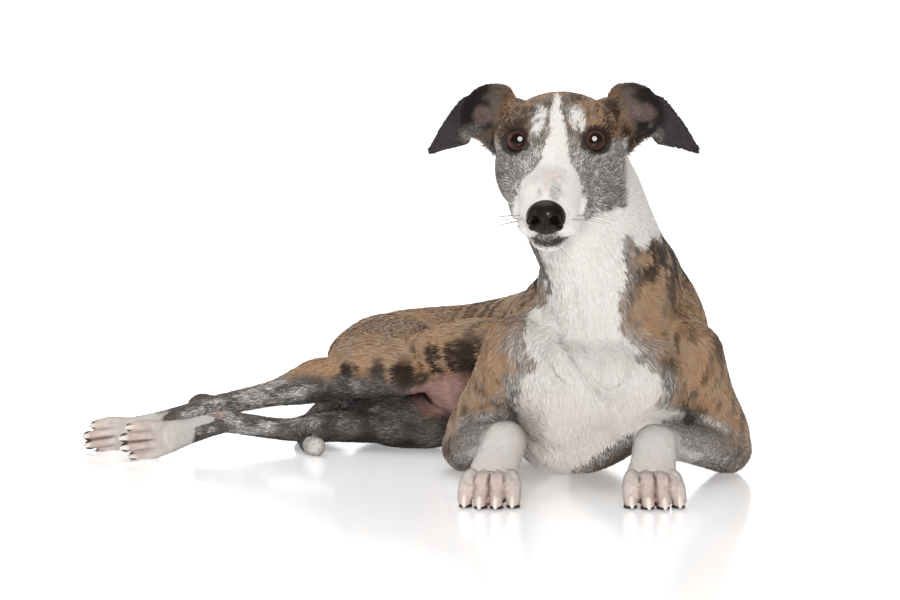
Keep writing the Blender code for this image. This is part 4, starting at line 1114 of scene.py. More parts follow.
def relaxSkin(corners, edges):  # and gives the coat's depth at each corner
    inFace = fade(-np.linalg.norm(inHead(corners) - np.array((0, 0.0, -0.02)), axis=1), -0.14, -0.11)
    weight = np.ones(len(corners)) * (1 - inFace) + 0.55 * inFace
    for side in (1, -1):  # eyelids and ears keep their form
        weight *= 1 - 0.93 * fade(-distance(corners, eyePlace(side)), -0.020, -0.0145)
        out = (corners - np.array(earPlace(side, 0.0, 0.0, 0.0))) @ np.array(headTurn)[:, 0] * side
        near = fade(-distance(corners, earPlace(side, 0.030, 0.0, 0.0)), -0.066, -0.056)
        weight *= 1 - 0.92 * near * fade(out, -0.022, -0.012)
    depth = skinLook["coatDepth"] * (1 - inFace) + skinLook["faceDepth"] * inFace
    for paw in paws.values():
        on = fade(-distance(corners, pawPlace(paw, 0, 0.025, -0.008)), -0.055, -0.035)
        ahead = inPaw(corners, paw)[:, 1]
        weight *= 1 - on * (0.45 + 0.45 * fade(ahead, paw["length"] * 0.40, paw["length"] * 0.62))
        depth = depth * (1 - on) + skinLook["faceDepth"] * on
    corners = relax(corners, edges, weight, skinLook["rounds"])

    chest = (corners - np.array((0.135, -0.155, 0.085))) / np.array((1.0, 1.2, 1.15))
    chest = fade(-np.linalg.norm(chest, axis=1), -0.090, -0.055)
    near = np.where(chest > 0)[0]
    number = np.full(len(corners), -1)
    number[near] = np.arange(len(near))
    inside = number[edges]
    inside = inside[(inside >= 0).all(1)]  # edges of the chest, by its own numbers
    corners[near] = relax(corners[near], inside, chest[near], 8 * skinLook["rounds"])
    for side in (1, -1):
        depth *= 1 - fade(-distance(corners, eyePlace(side)), -0.022, -0.015)
    return corners, depth


def openEyes(skin):  # seats and almond openings
    seats, openings = bmesh.new(), bmesh.new()
    wide, tall = head["opening"]
    seat = head["eyeRadius"] + 0.0001
    for side in (1, -1):
        mass(seats, eyePlace(side), (seat, seat, seat), eyeAxes(side), 48)
        turned = eyeAxes(side) @ Matrix.Rotation(math.radians(-90), 3, "X")
        place = Matrix.Translation(eyePlace(side) + eyeAxes(side).col[1] * 0.0185) @ turned.to_4x4()
        place = place @ Matrix.Diagonal((1, tall / wide, 1, 1))
        bmesh.ops.create_cone(openings, cap_ends=True, segments=48, radius1=wide, radius2=wide * 1.12,
                              depth=0.030, matrix=place)
    cut(skin, pieceFrom(seats, "seats"))
    cut(skin, pieceFrom(openings, "openings"))


def growSkin():
    skin = joinedForms()
    places = finerPlaces()
    moveCorners(skin, magnify(cornersOf(skin), places))
    remesh(skin, skinLook["voxel"])
    corners = magnify(cornersOf(skin), places, back=True)
    print("skin remeshed", len(corners))
    corners, depth = relaxSkin(corners, edgesOf(skin))
    moveCorners(skin, corners)
    normals = normalsOf(skin)
    corners = corners - normals * depth[:, None]
    change = foldsIn(corners, normals) + faceRelief(corners)
    for paw in paws.values():
        change += pawRelief(corners, paw)
    moveCorners(skin, offFloor(corners + normals * change[:, None], skinLook["offFloor"]))
    openEyes(skin)
    fewer = skin.modifiers.new("fewer faces", "DECIMATE")
    fewer.ratio = min(1.0, skinLook["triangles"] / sum(len(face.vertices) - 2 for face in skin.data.polygons))
    settle(skin)
    keepLargest(skin)
    print("skin has", len(skin.data.polygons), "faces")
    return skin


def keepLargest(piece):
    mesh = bmesh.new()
    mesh.from_mesh(piece.data)
    seenOnce = set()
    islands = []
    for vert in mesh.verts:
        if vert in seenOnce:
            continue
        island, rim = [], [vert]
        seenOnce.add(vert)
        while rim:
            this = rim.pop()
            island.append(this)
            for edge in this.link_edges:
                other = edge.other_vert(this)
                if other not in seenOnce:
                    seenOnce.add(other)
                    rim.append(other)
        islands.append(island)
    islands.sort(key=len, reverse=True)
    for island in islands[1:]:
        bmesh.ops.delete(mesh, geom=island, context="VERTS")
    bmesh.ops.triangulate(mesh, faces=mesh.faces)
    mesh.to_mesh(piece.data)
    mesh.free()


tailLook = {
    "radius": 0.0102, "coatDepth": 0.0010,
    "thick": (1.9, 1.65, 1.38, 1.15, 0.98, 0.86, 0.80, 0.90, 0.97),  # share of the radius from root to tip
}


def growTail():
    mesh = bmesh.new()
    radii = [tailLook["radius"] * share - tailLook["coatDepth"] for share in tailLook["thick"]]
    loft(mesh, [(*place, *[radius] * 3) for place, radius in zip(tailRows, radii)], up, points=32, steps=10)
    tail = pieceFrom(mesh, "tailSkin")
    moveCorners(tail, offFloor(cornersOf(tail), skinLook["offFloor"]))
    deselect()
    bpy.context.view_layer.objects.active = tail
    tail.modifiers.new("triangles", "TRIANGULATE")
    settle(tail)
    return tail


# Materials


class Wire:  # a socket that arithmetic can be written with
    def __init__(self, paint, socket):
        self.paint, self.socket = paint, socket

    def math(self, operation, first, second):
        return self.paint.node("ShaderNodeMath", {"operation": operation}, {0: first, 1: second})

    def __add__(self, other):
        return self.math("ADD", self, other)

    def __radd__(self, other):
        return self.math("ADD", other, self)

    def __sub__(self, other):
        return self.math("SUBTRACT", self, other)

    def __rsub__(self, other):
        return self.math("SUBTRACT", other, self)

    def __mul__(self, other):
        return self.math("MULTIPLY", self, other)

    def __rmul__(self, other):
        return self.math("MULTIPLY", other, self)

    def below(self, other):
        return self.math("LESS_THAN", self, other)

    def clamped(self):
        return self.math("MAXIMUM", self.math("MINIMUM", self, 1.0), 0.0)


class Paint:  # one material and its nodes
    def __init__(self, name, **plain):
        self.material = bpy.data.materials.new(name)
        self.material.use_nodes = True
        self.nodes = self.material.node_tree.nodes
        self.links = self.material.node_tree.links
        self.shader = self.nodes["Principled BSDF"]
        for socket, value in plain.items():
            self.shader.inputs[socket.replace("_", " ")].default_value = value

    def node(self, kind, settings=None, values=None, output=0):
        made = self.nodes.new(kind)
        for key, value in (settings or {}).items():
            if key == "stops":
                while len(made.color_ramp.elements) < len(value):
                    made.color_ramp.elements.new(1.0)
                for element, (place, colour) in zip(made.color_ramp.elements, value):
                    element.position = place
                    element.color = (*colour, 1)
            else:
                setattr(made, key, value)
        for key, value in (values or {}).items():
            socket = made.inputs[key]
            if isinstance(value, Wire):
                self.links.new(value.socket, socket)
            else:
                socket.default_value = value
        return Wire(self, made.outputs[output])

    def mix(self, factor, first, second):
        made = self.nodes.new("ShaderNodeMix")
        made.data_type = "RGBA"
        for index, value in ((0, factor), (6, first), (7, second)):
            if isinstance(value, Wire):
                self.links.new(value.socket, made.inputs[index])
            else:
                made.inputs[index].default_value = value if index == 0 else (*value, 1)
        return Wire(self, made.outputs[2])

    def place(self):
        return self.node("ShaderNodeTexCoord", output=3)

    def noise(self, where, scale, detail=2.0, rough=0.5, stretch=None):
        if stretch:
            where = self.node("ShaderNodeVectorMath", {"operation": "MULTIPLY"}, {0: where, 1: stretch})
        return self.node("ShaderNodeTexNoise", None, {"Vector": where, "Scale": scale, "Detail": detail,
                                                      "Roughness": rough})

    def attribute(self, name, output=0):
        return self.node("ShaderNodeAttribute", {"attribute_name": name}, output=output)

    def channels(self, colour):
        parts = self.node("ShaderNodeSeparateColor", None, {"Color": colour}).socket.node
        return [Wire(self, socket) for socket in parts.outputs]

    def bump(self, height, distance, strength=1.0):
        return self.node("ShaderNodeBump", None, {"Height": height, "Distance": distance, "Strength": strength})

    def set(self, **wires):
        for socket, wire in wires.items():
            self.links.new(wire.socket, self.shader.inputs[socket.replace("_", " ")])
        return self.material


def linear(red, green, blue):
    return tuple(((v / 255 + 0.055) / 1.055) ** 2.4 if v > 10 else v / 255 / 12.92 for v in (red, green, blue))


coatColours = {
    "golden": linear(190, 146, 105), "fawn": linear(180, 157, 134), "black": linear(42, 29, 22),
    "cool black": linear(42, 36, 36), "grey": linear(112, 104, 100), "white": linear(240, 237, 233),
    "cream": linear(232, 224, 215), "pink": linear(184, 142, 134), "pale pink": linear(240, 206, 194),
    "shade": linear(18, 12, 10),
}


def coatPaint(name, onSkin):
    paint = Paint(name, Roughness=0.62 if onSkin else 0.50, Specular_IOR_Level=0.22, Sheen_Weight=0.03)
    colours = coatColours
    where = paint.place()
    white, dark, grey = paint.channels(paint.attribute("marks"))
    pink = paint.attribute("marks", 3)
    tone = paint.attribute("tone", 2)  # differs from tuft to tuft
    patch = paint.noise(where, 42.0, 3.0)
    warm = paint.mix((patch * 1.6 - 0.3 + (tone - 0.5) * 0.5).clamped(), colours["golden"], colours["fawn"])
    warm = paint.mix((grey * 0.75).clamped(), warm, colours["grey"])
    deep = paint.mix(grey, colours["black"], colours["cool black"])
    coat = paint.mix((dark + (tone - 0.5) * 0.12).clamped(), warm, deep)
    pale = paint.mix((patch * 0.5 + (tone - 0.5) * 0.6).clamped(), colours["white"], colours["cream"])
    coat = paint.mix(white, coat, pale)
    blush = paint.mix((white * 0.9).clamped(), colours["pink"], colours["pale pink"])
    coat = paint.mix((pink * 0.85).clamped(), coat, blush)
    shade = paint.noise(where, 900.0 if onSkin else 260.0, 2.0)
    coat = paint.mix(((shade - 0.5) * 0.35 + (0.5 - tone) * 0.22).clamped(), coat, colours["shade"])
    if not onSkin:
        return paint.set(Base_Color=coat)
    pores = paint.noise(where, 1400.0, 3.0, 0.6)
    return paint.set(Base_Color=coat, Normal=paint.bump(pores, 0.0004, 0.5))


irisStops = (  # share of 10 mm from the pupil's middle, and the colour there
    (0.0, linear(10, 4, 3)), (0.48, linear(13, 6, 5)), (0.60, linear(56, 31, 26)), (0.72, linear(98, 65, 56)),
    (0.82, linear(118, 85, 75)), (0.89, linear(54, 36, 32)), (0.94, linear(24, 15, 14)),
    (1.0, linear(176, 152, 146)),
)


def eyePaint():
    paint = Paint("eye", Roughness=0.08, Specular_IOR_Level=0.0, Coat_Weight=1.0, Coat_Roughness=0.02,
                  Coat_IOR=1.34)
    around = paint.attribute("around", 2)  # millimetres from the pupil's middle
    fibres = paint.noise(paint.place(), 900.0, 3.0, 0.6)
    brown = paint.node("ShaderNodeValToRGB", {"stops": irisStops}, {"Fac": around * 0.1})
    speckled = paint.mix((fibres * 0.35).clamped(), brown, linear(58, 32, 25))
    return paint.set(Base_Color=paint.mix(around.below(9.2), brown, speckled))


def rimPaint():
    paint = Paint("lidRim", Roughness=0.28)
    where = paint.place()
    colour = paint.mix(paint.noise(where, 500.0), linear(26, 16, 16), linear(58, 38, 36))
    return paint.set(Base_Color=colour, Normal=paint.bump(paint.noise(where, 2500.0), 0.0002, 0.4))


def nosePaint():
    paint = Paint("nose", Roughness=0.42, Specular_IOR_Level=0.12, Coat_Weight=0.25, Coat_Roughness=0.13,
                  Coat_IOR=1.4)
    where = paint.place()
    settings = {"feature": "DISTANCE_TO_EDGE"}
    pebbles = paint.node("ShaderNodeTexVoronoi", settings, {"Vector": where, "Scale": 900.0})
    colour = paint.mix(paint.noise(where, 300.0), linear(17, 8, 6), linear(31, 18, 15))
    return paint.set(Base_Color=colour, Normal=paint.bump(pebbles, 0.0005, 0.6))


def clawPaint():
    paint = Paint("claw", Roughness=0.32)
    grain = paint.noise(paint.place(), 300.0, 3.0, 0.6, stretch=(1.0, 0.25, 1.0))
    tip = paint.attribute("tip", 2)
    colour = paint.mix(grain, linear(226, 206, 190), linear(246, 238, 228))
    colour = paint.mix((tip * 0.5).clamped(), colour, linear(244, 240, 232))
    return paint.set(Base_Color=colour, Normal=paint.bump(grain, 0.0003, 0.4))


def padPaint():
    paint = Paint("pad", Roughness=0.65)
    where = paint.place()
    grain = paint.node("ShaderNodeTexVoronoi", None, {"Vector": where, "Scale": 1100.0})
    colour = paint.mix(paint.noise(where, 200.0), linear(38, 32, 31), linear(72, 60, 57))
    return paint.set(Base_Color=colour, Normal=paint.bump(grain, 0.0005, 0.6))


def whiskerPaint():
    paint = Paint("whisker", Roughness=0.4)
    colour = paint.mix(paint.noise(paint.place(), 60.0), linear(170, 164, 158), linear(96, 88, 84))
    return paint.set(Base_Color=colour)


# Giving skin and coat their markings


def store(piece, name, kind, values):
    layer = piece.data.attributes.new(name, kind, "POINT")
    field = "color" if kind == "FLOAT_COLOR" else "value"
    layer.data.foreach_set(field, np.asarray(values, np.float32).ravel())


def markSkin(piece):
    corners, normals = cornersOf(piece), normalsOf(piece)
    chance = np.random.default_rng(7).random(len(corners)) * 0.5 + 0.25
    found = markings(corners, normals, chance)
    found["way"] = hairAt(corners, normals)
    store(piece, "marks", "FLOAT_COLOR", found["marks"])
    store(piece, "tone", "FLOAT", chance)
    return found


# The coat: solid tufts of five corners, scattered over the skin by its area


tuftLength = {
    "body": 0.0076, "head": 0.0052, "muzzle": 0.0028, "ear": 0.0030, "paw": 0.0034,
    "legs": (("elbow", "wrist", 0.0068), ("wrist", "foreKnuckle", 0.0046), ("knee", "hock", 0.0066),
             ("hock", "hindKnuckle", 0.0048)),
}
coatLook = {
    "share": 1.80, "perPiece": 62000,
    "width": 0.00042, "widthPerLength": 0.075, "lift": 0.10, "sunk": 0.00025,
    "turn": 0.55, "wander": 0.5, "roll": 0.9,  # full ranges, in radians
    "offFloor": 0.0002, "overlap": 0.0015,  # the second is a tuft's size in the unwrap
}
tuftFaces = np.array(((0, 1, 3), (0, 3, 2), (2, 3, 4)))  # root left and right, middle left and right, tip
tuftSpots = np.array(((-0.5, -1), (0.5, -1), (-0.5, 0), (0.5, 0), (0, 1))) * coatLook["overlap"]


def lengthsOfTufts(points, found):
    inFace = found["head"]
    muzzle = fade(inHead(points)[:, 1], 0.0, 0.06)
    length = tuftLength["body"] * (1 - inFace)
    length = length + inFace * (tuftLength["head"] - (tuftLength["head"] - tuftLength["muzzle"]) * muzzle)
    for side in ("left", "right"):
        for start, end, size in tuftLength["legs"]:
            apart = nearLine(points, body[start][side], body[end][side])[1]
            on = fade(-apart, -0.036, -0.024) * (1 - inFace)
            length = length * (1 - on) + size * on
    for paw in paws.values():
        on = fade(-distance(points, pawPlace(paw, 0, 0.022, -0.006)), -0.050, -0.038)
        length = length * (1 - on) + tuftLength["paw"] * on
    length = length * (1 - found["ear"]) + tuftLength["ear"] * found["ear"]
    return length * (1 - 0.45 * found["rim"])


def tuftsWanted(corners, faces, found):  # how many tufts each face of the skin asks for
    a, b, c = (corners[faces[:, index]] for index in range(3))
    middle = (a + b + c) / 3
    normal = np.cross(b - a, c - a)
    area = np.linalg.norm(normal, axis=1) / 2
    normal /= np.maximum(np.linalg.norm(normal, axis=1), 1e-12)[:, None]
    length = lengthsOfTufts(middle, found)
    wanted = area / (length * 1.15e-3 * (0.32 + 16 * length)) * coatLook["share"]
    wanted *= 1 - 0.90 * found["cup"]
    bare = np.clip(found["marks"][:, 3] * 1.3 - 0.2, 0, 1) * (1 - found["head"])
    wanted *= 1 - 0.85 * bare
    for side in (1, -1):  # none on the lids' edges and inside them
        wanted *= distance(middle, eyePlace(side)) > 0.0150
    onNose = (middle - np.array(headPlace(*head["nose"]))) @ np.array(headTurn) / np.array(head["noseSize"])
    wanted *= np.linalg.norm(onNose, axis=1) > 1.05
    wanted *= middle[:, 2] > 0.0010
    for paw in paws.values():  # none under the paws
        side, ahead, over = inPaw(middle, paw).T
        under = (normal @ np.array(paw["axes"]))[:, 2] < -0.55
        wanted *= ~((np.abs(ahead - 0.02) < 0.05) & (np.abs(side) < 0.035) & under & (np.abs(over) < 0.04))
    return wanted


def scatterRoots(piece, onSkin, random):  # places, normals, spots in the unwrap and hair's directions
    corners, normals, faces = cornersOf(piece), normalsOf(piece), facesOf(piece)
    spots = np.empty(len(piece.data.loops) * 2, np.float32)
    piece.data.uv_layers["OFBake"].data.foreach_get("uv", spots)
    spots = spots.reshape(-1, 3, 2)
    found = {name: onSkin[name][faces].mean(1) for name in ("marks", "ear", "cup", "head", "rim")}
    wanted = tuftsWanted(corners, faces, found)
    count = np.floor(wanted + random.random(len(wanted))).astype(int)
    picked = np.repeat(np.arange(len(faces)), count)
    u, v = random.random(len(picked)), random.random(len(picked))
    over = u + v > 1
    u[over], v[over] = 1 - u[over], 1 - v[over]
    share = np.stack([u, v, 1 - u - v], 1)[:, :, None]
    triangle = faces[picked]
    normal = (normals[triangle] * share).sum(1)
    normal /= np.linalg.norm(normal, axis=1)[:, None]
    way = (onSkin["way"][triangle] * share).sum(1)
    return (corners[triangle] * share).sum(1), normal, (spots[picked] * share).sum(1), way


def shapeTufts(roots, normals, way, length, random):  # five corners for each tuft
    look, count = coatLook, len(roots)
    turn = (random.random(count) - 0.5) * look["turn"] + (cloud(roots, 0.012, 13) - 0.5) * look["wander"]
    way = way * np.cos(turn)[:, None] + np.cross(normals, way) * np.sin(turn)[:, None]
    roll = (random.random(count) - 0.5) * look["roll"]
    flat = np.cross(normals, way) * np.cos(roll)[:, None] + normals * np.sin(roll)[:, None]
    width = (look["width"] + look["widthPerLength"] * length) * (0.8 + 0.4 * random.random(count))
    lift = length * (look["lift"] + look["lift"] * random.random(count))
    start = roots - normals * look["sunk"]
    middle = roots + way * (length * 0.5)[:, None] + normals * (lift * 0.85)[:, None]
    tip = roots + way * length[:, None] + normals * (lift * 0.95)[:, None]
    atRoot, atMiddle = flat * (width * 0.42)[:, None], flat * (width * 0.5)[:, None]
    corners = np.stack([start - atRoot, start + atRoot, middle - atMiddle, middle + atMiddle, tip], 1)
    corners[:, :, 2] = np.maximum(corners[:, :, 2], look["offFloor"])
    return corners


def shareOut(roots, found):  # names of the coat's pieces, and the tufts of each
    group = np.where(found["ear"] > 0.4, 0, np.where(found["head"] > 0.5, 1, 2))
    for number, name in enumerate(("coatEars", "coatHead", "coatBody")):
        members = np.where(group == number)[0]
        members = members[np.argsort(roots[members, 1] - 0.4 * roots[members, 0], kind="stable")]
        pieces = max(1, math.ceil(len(members) / coatLook["perPiece"]))
        for part, some in enumerate(np.array_split(members, pieces)):
            yield name + (str(part + 1) if pieces > 1 else ""), some


def growCoat(skins, marked):
    random = np.random.default_rng(11)
    scattered = [scatterRoots(piece, onSkin, random) for piece, onSkin in zip(skins, marked)]
    roots, normals, spots, way = (np.vstack(rows) for rows in zip(*scattered))
    print("tufts", len(roots))
    chance = random.random(len(roots))
    way -= normals * (way * normals).sum(1)[:, None]
    way /= np.maximum(np.linalg.norm(way, axis=1), 1e-9)[:, None]
    found = markings(roots, normals, chance)
    length = lengthsOfTufts(roots, found) * (0.75 + 0.5 * random.random(len(roots)))
    corners = shapeTufts(roots, normals, way, length, random)
    made = []
    for name, some in shareOut(roots, found):
        index = (np.arange(len(some)) * 5)[:, None, None] + tuftFaces[None]
        piece = pieceFromArrays(name, corners[some].reshape(-1, 3), index.reshape(-1, 3))
        store(piece, "marks", "FLOAT_COLOR", np.repeat(found["marks"][some], 5, axis=0))
        store(piece, "tone", "FLOAT", np.repeat(chance[some], 5))
        places = (spots[some][:, None, :] + tuftSpots[None])[:, tuftFaces.ravel()]
        layer = piece.data.uv_layers.new(name="OFBake")
        layer.data.foreach_set("uv", places.astype(np.float32).ravel())
        made.append(piece)
    return made


# Eyes, lids, nose, claws, pads and whiskers


eyeLook = {
    "gap": 0.0002, "lookUp": 0.06,
    "front": 0.0095, "frontRadius": 0.036, "flatTo": 0.0035,  # the front is flatter than the ball
    "iris": {1: (-0.0024, -0.0007), -1: (0.0013, -0.0007)},  # its middle on each side, across and up
}


def growEye(side, name):
    look = eyeLook
    deselect()
    radius, front = head["eyeRadius"] - look["gap"], look["front"]
    bpy.ops.mesh.primitive_uv_sphere_add(segments=64, ring_count=48, radius=radius, location=(0, 0, 0))
    eye = bpy.context.object
    eye.name = name
    corners = cornersOf(eye)
    off = np.hypot(corners[:, 0], corners[:, 1])
    steps = np.linspace(0, front, 96)
    ball = steps / np.sqrt(radius**2 - steps**2)
    slope = ball + (steps / look["frontRadius"] - ball) * (1 - fade(steps, look["flatTo"], front))
    rise = math.sqrt(radius**2 - front**2) + np.cumsum(slope[::-1])[::-1] * steps[1]
    ahead = corners[:, 2] > 0
    corners[:, 2] = np.where(ahead & (off < front - 0.0001), np.interp(off, steps, rise), corners[:, 2])
    across, high = look["iris"][side]
    iris = np.hypot(corners[:, 0] - across, corners[:, 1] - high)
    store(eye, "around", "FLOAT", np.where(corners[:, 2] > 0, iris * 1000, 12.0))
    gaze = ((Vector(lens["place"]) - eyePlace(side)).normalized() + up * look["lookUp"]).normalized()
    turn = axesAlong(gaze, up)
    columns = np.array([list(turn.col[0]), list(turn.col[2]), list(turn.col[1])])
    moveCorners(eye, corners @ columns + np.array(eyePlace(side)))
    return eye


rimLook = {"proud": 0.0007, "high": 0.0011, "wide": 0.0009, "steps": 56, "around": 8}


def growLidRims():
    look, mesh = rimLook, bmesh.new()
    wide, tall = head["opening"]
    radius = head["eyeRadius"] + look["proud"]
    for side in (1, -1):
        axes, centre = eyeAxes(side), eyePlace(side)
        rings = []
        for step in range(look["steps"]):
            turn = 2 * math.pi * step / look["steps"]
            x, z = wide * math.cos(turn), tall * math.sin(turn)
            depth = math.sqrt(max(radius**2 - x * x - z * z, 1e-8))
            outward = Vector((x, depth, z)).normalized()
            rimWay = Vector((x / wide, 0, z / tall)).normalized()
            ring = []
            for part in range(look["around"]):
                angle = 2 * math.pi * part / look["around"]
                offset = outward * look["high"] * math.sin(angle)
                offset += rimWay * look["wide"] * (math.cos(angle) + 0.5)
                ring.append(mesh.verts.new(centre + axes @ (outward * radius + offset)))
            rings.append(ring)
        for near, far in zip(rings, rings[1:] + rings[:1]):
            for index in range(look["around"]):
                after = (index + 1) % look["around"]
                mesh.faces.new((near[index], near[after], far[after], far[index]))
    return pieceFrom(mesh, "lidRims")


noseLook = {
    "voxel": 0.00055, "rounds": 10,
    "wing": (0.0099, 0.0035, -0.0028), "wingSize": (0.0068, 0.0090, 0.0078),
    "nostril": ((0.0062, 0.0005), (0.0085, 0.0010), (0.0105, -0.0008), (0.0112, -0.0030), (0.0125, -0.0048),
                (0.0150, -0.0056), (0.0175, -0.0050)),  # its line outwards and up, from beside the middle
    "width": (0.0024, 0.0038, 0.0021, 0.0010), "depth": (0.002, 0.0070, 0.0035, 0.0012),  # along that line
    "edge": 0.0004, "groove": 0.0012, "grooveWidth": 0.0009,
}


def growNose():
    look, mesh = noseLook, bmesh.new()
    left, forward, high = head["nose"]
    mass(mesh, headPlace(left, forward, high), head["noseSize"], headTurn, 48)
    out, ahead, above = look["wing"]
    for side in (1, -1):
        mass(mesh, headPlace(out * side, forward + ahead, high + above), look["wingSize"], headTurn, 32)
    nose = pieceFrom(mesh, "nosePad")
    remesh(nose, look["voxel"])
    corners = cornersOf(nose)
    corners = relax(corners, edgesOf(nose), np.ones(len(corners)), look["rounds"])
    moveCorners(nose, corners)
    normals = normalsOf(nose)
    x, y, z = (inHead(corners) - np.array((0, forward, high))).T
    front = fade(y, 0.000, 0.004)
    path = smoothRows([list(point) for point in look["nostril"]], 6)
    steps = np.arange(len(path))
    width, depth = (np.interp(steps, (0, 10, 20, len(path)), look[name]) for name in ("width", "depth"))
    change = np.zeros(len(corners))
    for side in (1, -1):
        gap = np.hypot(x[:, None] * side - path[:, 0], z[:, None] - path[:, 1])
        hole = (depth * np.exp(-((gap / width) ** 4))).max(1)
        change -= hole * fade(y, -0.004, 0.002)
        change += look["edge"] * np.exp(-(((gap.min(1) - 0.0042) / 0.0014) ** 2)) * front
    change -= look["groove"] * np.exp(-((x / look["grooveWidth"]) ** 2)) * fade(-z, -0.001, 0.003) * front
    moveCorners(nose, corners + normals * change[:, None])
    return nose


clawLook = {  # share of the length, lift, and the claw's half side, top and bottom there
    "rows": ((0.0, 0.0, 0.0027, 0.0031, 0.0027), (0.35, 0.0008, 0.0026, 0.0029, 0.0026),
             (0.68, 0.0005, 0.0023, 0.0024, 0.0022), (0.90, 0.0, 0.0016, 0.0017, 0.0016)),
    "root": (0.98, -0.62), "beyond": 1.05, "tipDrop": -0.90, "offFloor": 0.0001,
}


def growClaws():
    look, mesh = clawLook, bmesh.new()
    marks = []
    for paw in paws.values():
        girth, drop = paw["girth"], paw["drop"]
        lift = paw["axes"] @ Vector((0, 0, 1))
        for _, reach, spread in toesOf(paw):
            root = pawPlace(paw, spread, reach * look["root"][0], drop * look["root"][1])
            tip = pawPlace(paw, spread, reach + girth * look["beyond"], drop * look["tipDrop"])
            rows = [(*(root.lerp(tip, share) + lift * high), *sizes) for share, high, *sizes in look["rows"]]
            before = len(mesh.verts)
            loft(mesh, rows, lift, points=16, steps=5)
            mesh.verts.ensure_lookup_table()
            for vert in mesh.verts[before:]:
                marks.append((vert.co - root).dot((tip - root).normalized()) / (tip - root).length)
    claws = pieceFrom(mesh, "claws")
    store(claws, "tip", "FLOAT", np.clip(marks, 0, 1))
    moveCorners(claws, offFloor(cornersOf(claws), look["offFloor"]))
    return claws


padLook = {  # share of the toe's reach and drop, then the size as shares of the toe's girth
    "flat": (0.77, 0.96, 0.90, 1.12, 0.46), "onSide": (0.97, 0.86, 0.80, 1.12, 0.74), "offFloor": 0.0001,
}


def growPads():
    mesh = bmesh.new()
    for paw in paws.values():
        girth, drop, pitch, axes = paw["girth"], paw["drop"], paw["pitch"], paw["axes"]
        ahead, below, *sizes = padLook["onSide" if paw["onSide"] else "flat"]
        for _, reach, spread in toesOf(paw):
            place = pawPlace(paw, spread, reach * ahead, -drop * below)
            mass(mesh, place, [girth * size for size in sizes], axes, 24)
        mass(mesh, pawPlace(paw, 0, 0.012, -drop * 0.68), (pitch * 1.25, 0.0120, drop * 0.38), axes, 28)
    pads = pieceFrom(mesh, "pads")
    moveCorners(pads, offFloor(cornersOf(pads), padLook["offFloor"]))
    return pads


whiskerLook = {"radius": 0.00036, "taper": 0.8, "hang": 0.25, "rows": (  # left, forward, up, length and droop
    (0.0215, 0.088, -0.042, 0.030, 0.3), (0.0222, 0.082, -0.046, 0.034, 0.5),
    (0.0232, 0.076, -0.043, 0.036, 0.2), (0.0228, 0.072, -0.049, 0.036, 0.6),
    (0.0240, 0.066, -0.046, 0.034, 0.4), (0.0205, 0.088, -0.048, 0.026, 0.7),
    (0.0246, 0.060, -0.050, 0.028, 0.6), (0.0150, 0.086, -0.064, 0.016, 1.6),
    (0.0080, 0.090, -0.0665, 0.014, 2.0),
)}


def growWhiskers():
    look, mesh = whiskerLook, bmesh.new()
    random = np.random.default_rng(5)
    for side in (1, -1):
        for left, forward, high, length, droop in look["rows"][:: 1 if side < 0 else 2]:
            root = headPlace(left * side, forward, high)
            sideways, ahead = side * (0.9 + 0.2 * random.random()), -0.25 + 0.3 * random.random()
            out = (headTurn @ Vector((sideways, ahead, -look["hang"] * droop))).normalized()
            rows = []
            for share in np.linspace(0, 1, 5):
                place = root + out * length * share - up * look["hang"] * droop * length * share**2
                rows.append((*place, *[look["radius"] * (1 - look["taper"] * share)] * 3))
            loft(mesh, rows, Vector((0.1, 0.2, 1)), points=6, steps=2)
    return pieceFrom(mesh, "whiskers")


# Everything together


def dress(piece, material, replaces=()):
    piece.data.materials.clear()
    piece.data.materials.append(material)
    piece.data.transform(Matrix.Translation(drawnAt))
    piece.data.shade_smooth()
    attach(piece, "root")
    if replaces:
        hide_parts(*replaces)


def layOutSkin(pieces):  # one unwrap for the bake of the coat
    for piece in pieces:
        deselect()
        piece.select_set(True)
        bpy.context.view_layer.objects.active = piece
        piece.data.uv_layers.new(name="OFBake")
        bpy.ops.object.mode_set(mode="EDIT")
        bpy.ops.mesh.select_all(action="SELECT")
        bpy.ops.uv.smart_project(angle_limit=math.radians(66), island_margin=0.001)
        bpy.ops.object.mode_set(mode="OBJECT")
    spots = pieces[1].data.uv_layers["OFBake"].data
    uv = np.empty(len(spots) * 2, np.float32)
    spots.foreach_get("uv", uv)
    spots.foreach_set("uv", uv * 0.08)  # the tail keeps to a corner


skin = growSkin()
tail = growTail()
marked = [markSkin(piece) for piece in (skin, tail)]
print("skin marked")
layOutSkin((skin, tail))
print("skin unwrapped")
coats = growCoat((skin, tail), marked)
print("coat grown")

fleshNodes = [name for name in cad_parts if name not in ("nose", "eye_left", "eye_right")]
tailNodes = [name for name in fleshNodes if name.startswith("tail")]
skinMaterial, coatMaterial = coatPaint("skinCoat", True), coatPaint("coat", False)
dress(skin, skinMaterial, [name for name in fleshNodes if name not in tailNodes])
dress(tail, skinMaterial, tailNodes)
for coat in coats:
    dress(coat, coatMaterial)
eyeMaterial = eyePaint()
dress(growEye(1, "eyeLeft"), eyeMaterial, ["eye_left"])
dress(growEye(-1, "eyeRight"), eyeMaterial, ["eye_right"])
dress(growLidRims(), rimPaint())
dress(growNose(), nosePaint(), ["nose"])
dress(growClaws(), clawPaint())
dress(growPads(), padPaint())
dress(growWhiskers(), whiskerPaint())
print("pieces dressed")


# Floor, light and camera


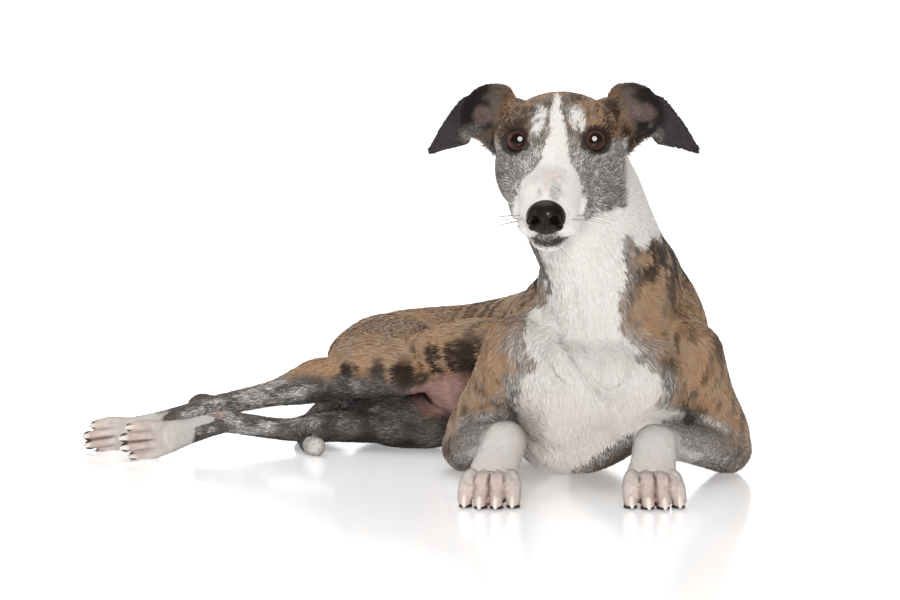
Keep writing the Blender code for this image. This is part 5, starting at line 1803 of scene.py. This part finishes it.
studioLook = {
    "floor": {"corners": ((-14, -9, -0.0004), (14, -9, -0.0004), (14, 9, -0.0004), (-14, 9, -0.0004)),
              "tones": ((0.91, 0.91, 0.915), (0.94, 0.94, 0.94)), "glow": 0.28},
    "wall": {"corners": ((-14, 8, -0.5), (14, 8, -0.5), (14, 8, 8), (-14, 8, 8)),
             "tones": ((1.0, 1.0, 1.0), (0.99, 0.99, 0.99)), "glow": 0.9},
    "world": 0.26,
    "lamps": {  # place, target, size and power
        "front": ((0.22, -2.75, 0.64), (0.05, 0, 0.16), 0.60, 27),
        "top": ((-0.2, -0.1, 3.0), (0, 0.0, 0), 3.0, 58),
        "side": ((-3.0, -1.8, 1.6), (0, 0, 0.15), 1.6, 16),
    },
    "sensor": 36.0, "pictureWidth": 900, "belowHorizon": 112,  # the picture's middle lies so far below it
}


def studio():
    look = studioLook["floor"]
    floor = pieceFromArrays("studioFloor", look["corners"], [(0, 1, 2, 3)])
    paint = Paint("paleFloor", Roughness=0.12, Specular_IOR_Level=0.35, Emission_Color=(1, 1, 1, 1),
                  Emission_Strength=look["glow"])
    paint.set(Base_Color=paint.mix(paint.noise(paint.place(), 1.5), *look["tones"]))
    floor.data.materials.append(paint.material)
    look = studioLook["wall"]
    wall = pieceFromArrays("studioWall", look["corners"], [(0, 1, 2, 3)])
    paint = Paint("brightWall", Roughness=1.0, Emission_Strength=look["glow"])
    glow = paint.mix(paint.noise(paint.place(), 0.4), *look["tones"])
    paint.set(Emission_Color=glow, Base_Color=glow)
    wall.data.materials.append(paint.material)


def lamp(name, place, target, size, power):
    light = bpy.data.lights.new(name, "AREA")
    light.shape = "DISK"
    light.size = size
    light.energy = power
    lampObject = bpy.data.objects.new(name, light)
    bpy.context.scene.collection.objects.link(lampObject)
    lampObject.location = place
    lampObject.rotation_euler = (Vector(target) - Vector(place)).to_track_quat("-Z", "Y").to_euler()


def lightsAndCamera():
    world = bpy.data.worlds.new("studio")
    bpy.context.scene.world = world
    world.use_nodes = True
    background = world.node_tree.nodes["Background"]
    background.inputs[0].default_value = (1.0, 1.0, 1.0, 1.0)
    background.inputs[1].default_value = studioLook["world"]
    bpy.context.scene.view_settings.view_transform = "Standard"
    for name, settings in studioLook["lamps"].items():
        lamp(name, *settings)
    camera = bpy.data.cameras.new("camera")
    camera.lens = lens["focal"] / studioLook["pictureWidth"] * studioLook["sensor"]
    cameraObject = bpy.data.objects.new("camera", camera)
    bpy.context.scene.collection.objects.link(cameraObject)
    cameraObject.location = Vector(lens["place"]) + drawnAt
    tilt = math.radians(90) - math.atan(studioLook["belowHorizon"] / lens["focal"])
    cameraObject.rotation_euler = (tilt, 0, 0)
    bpy.context.scene.camera = cameraObject


studio()
lightsAndCamera()
print("studio ready")
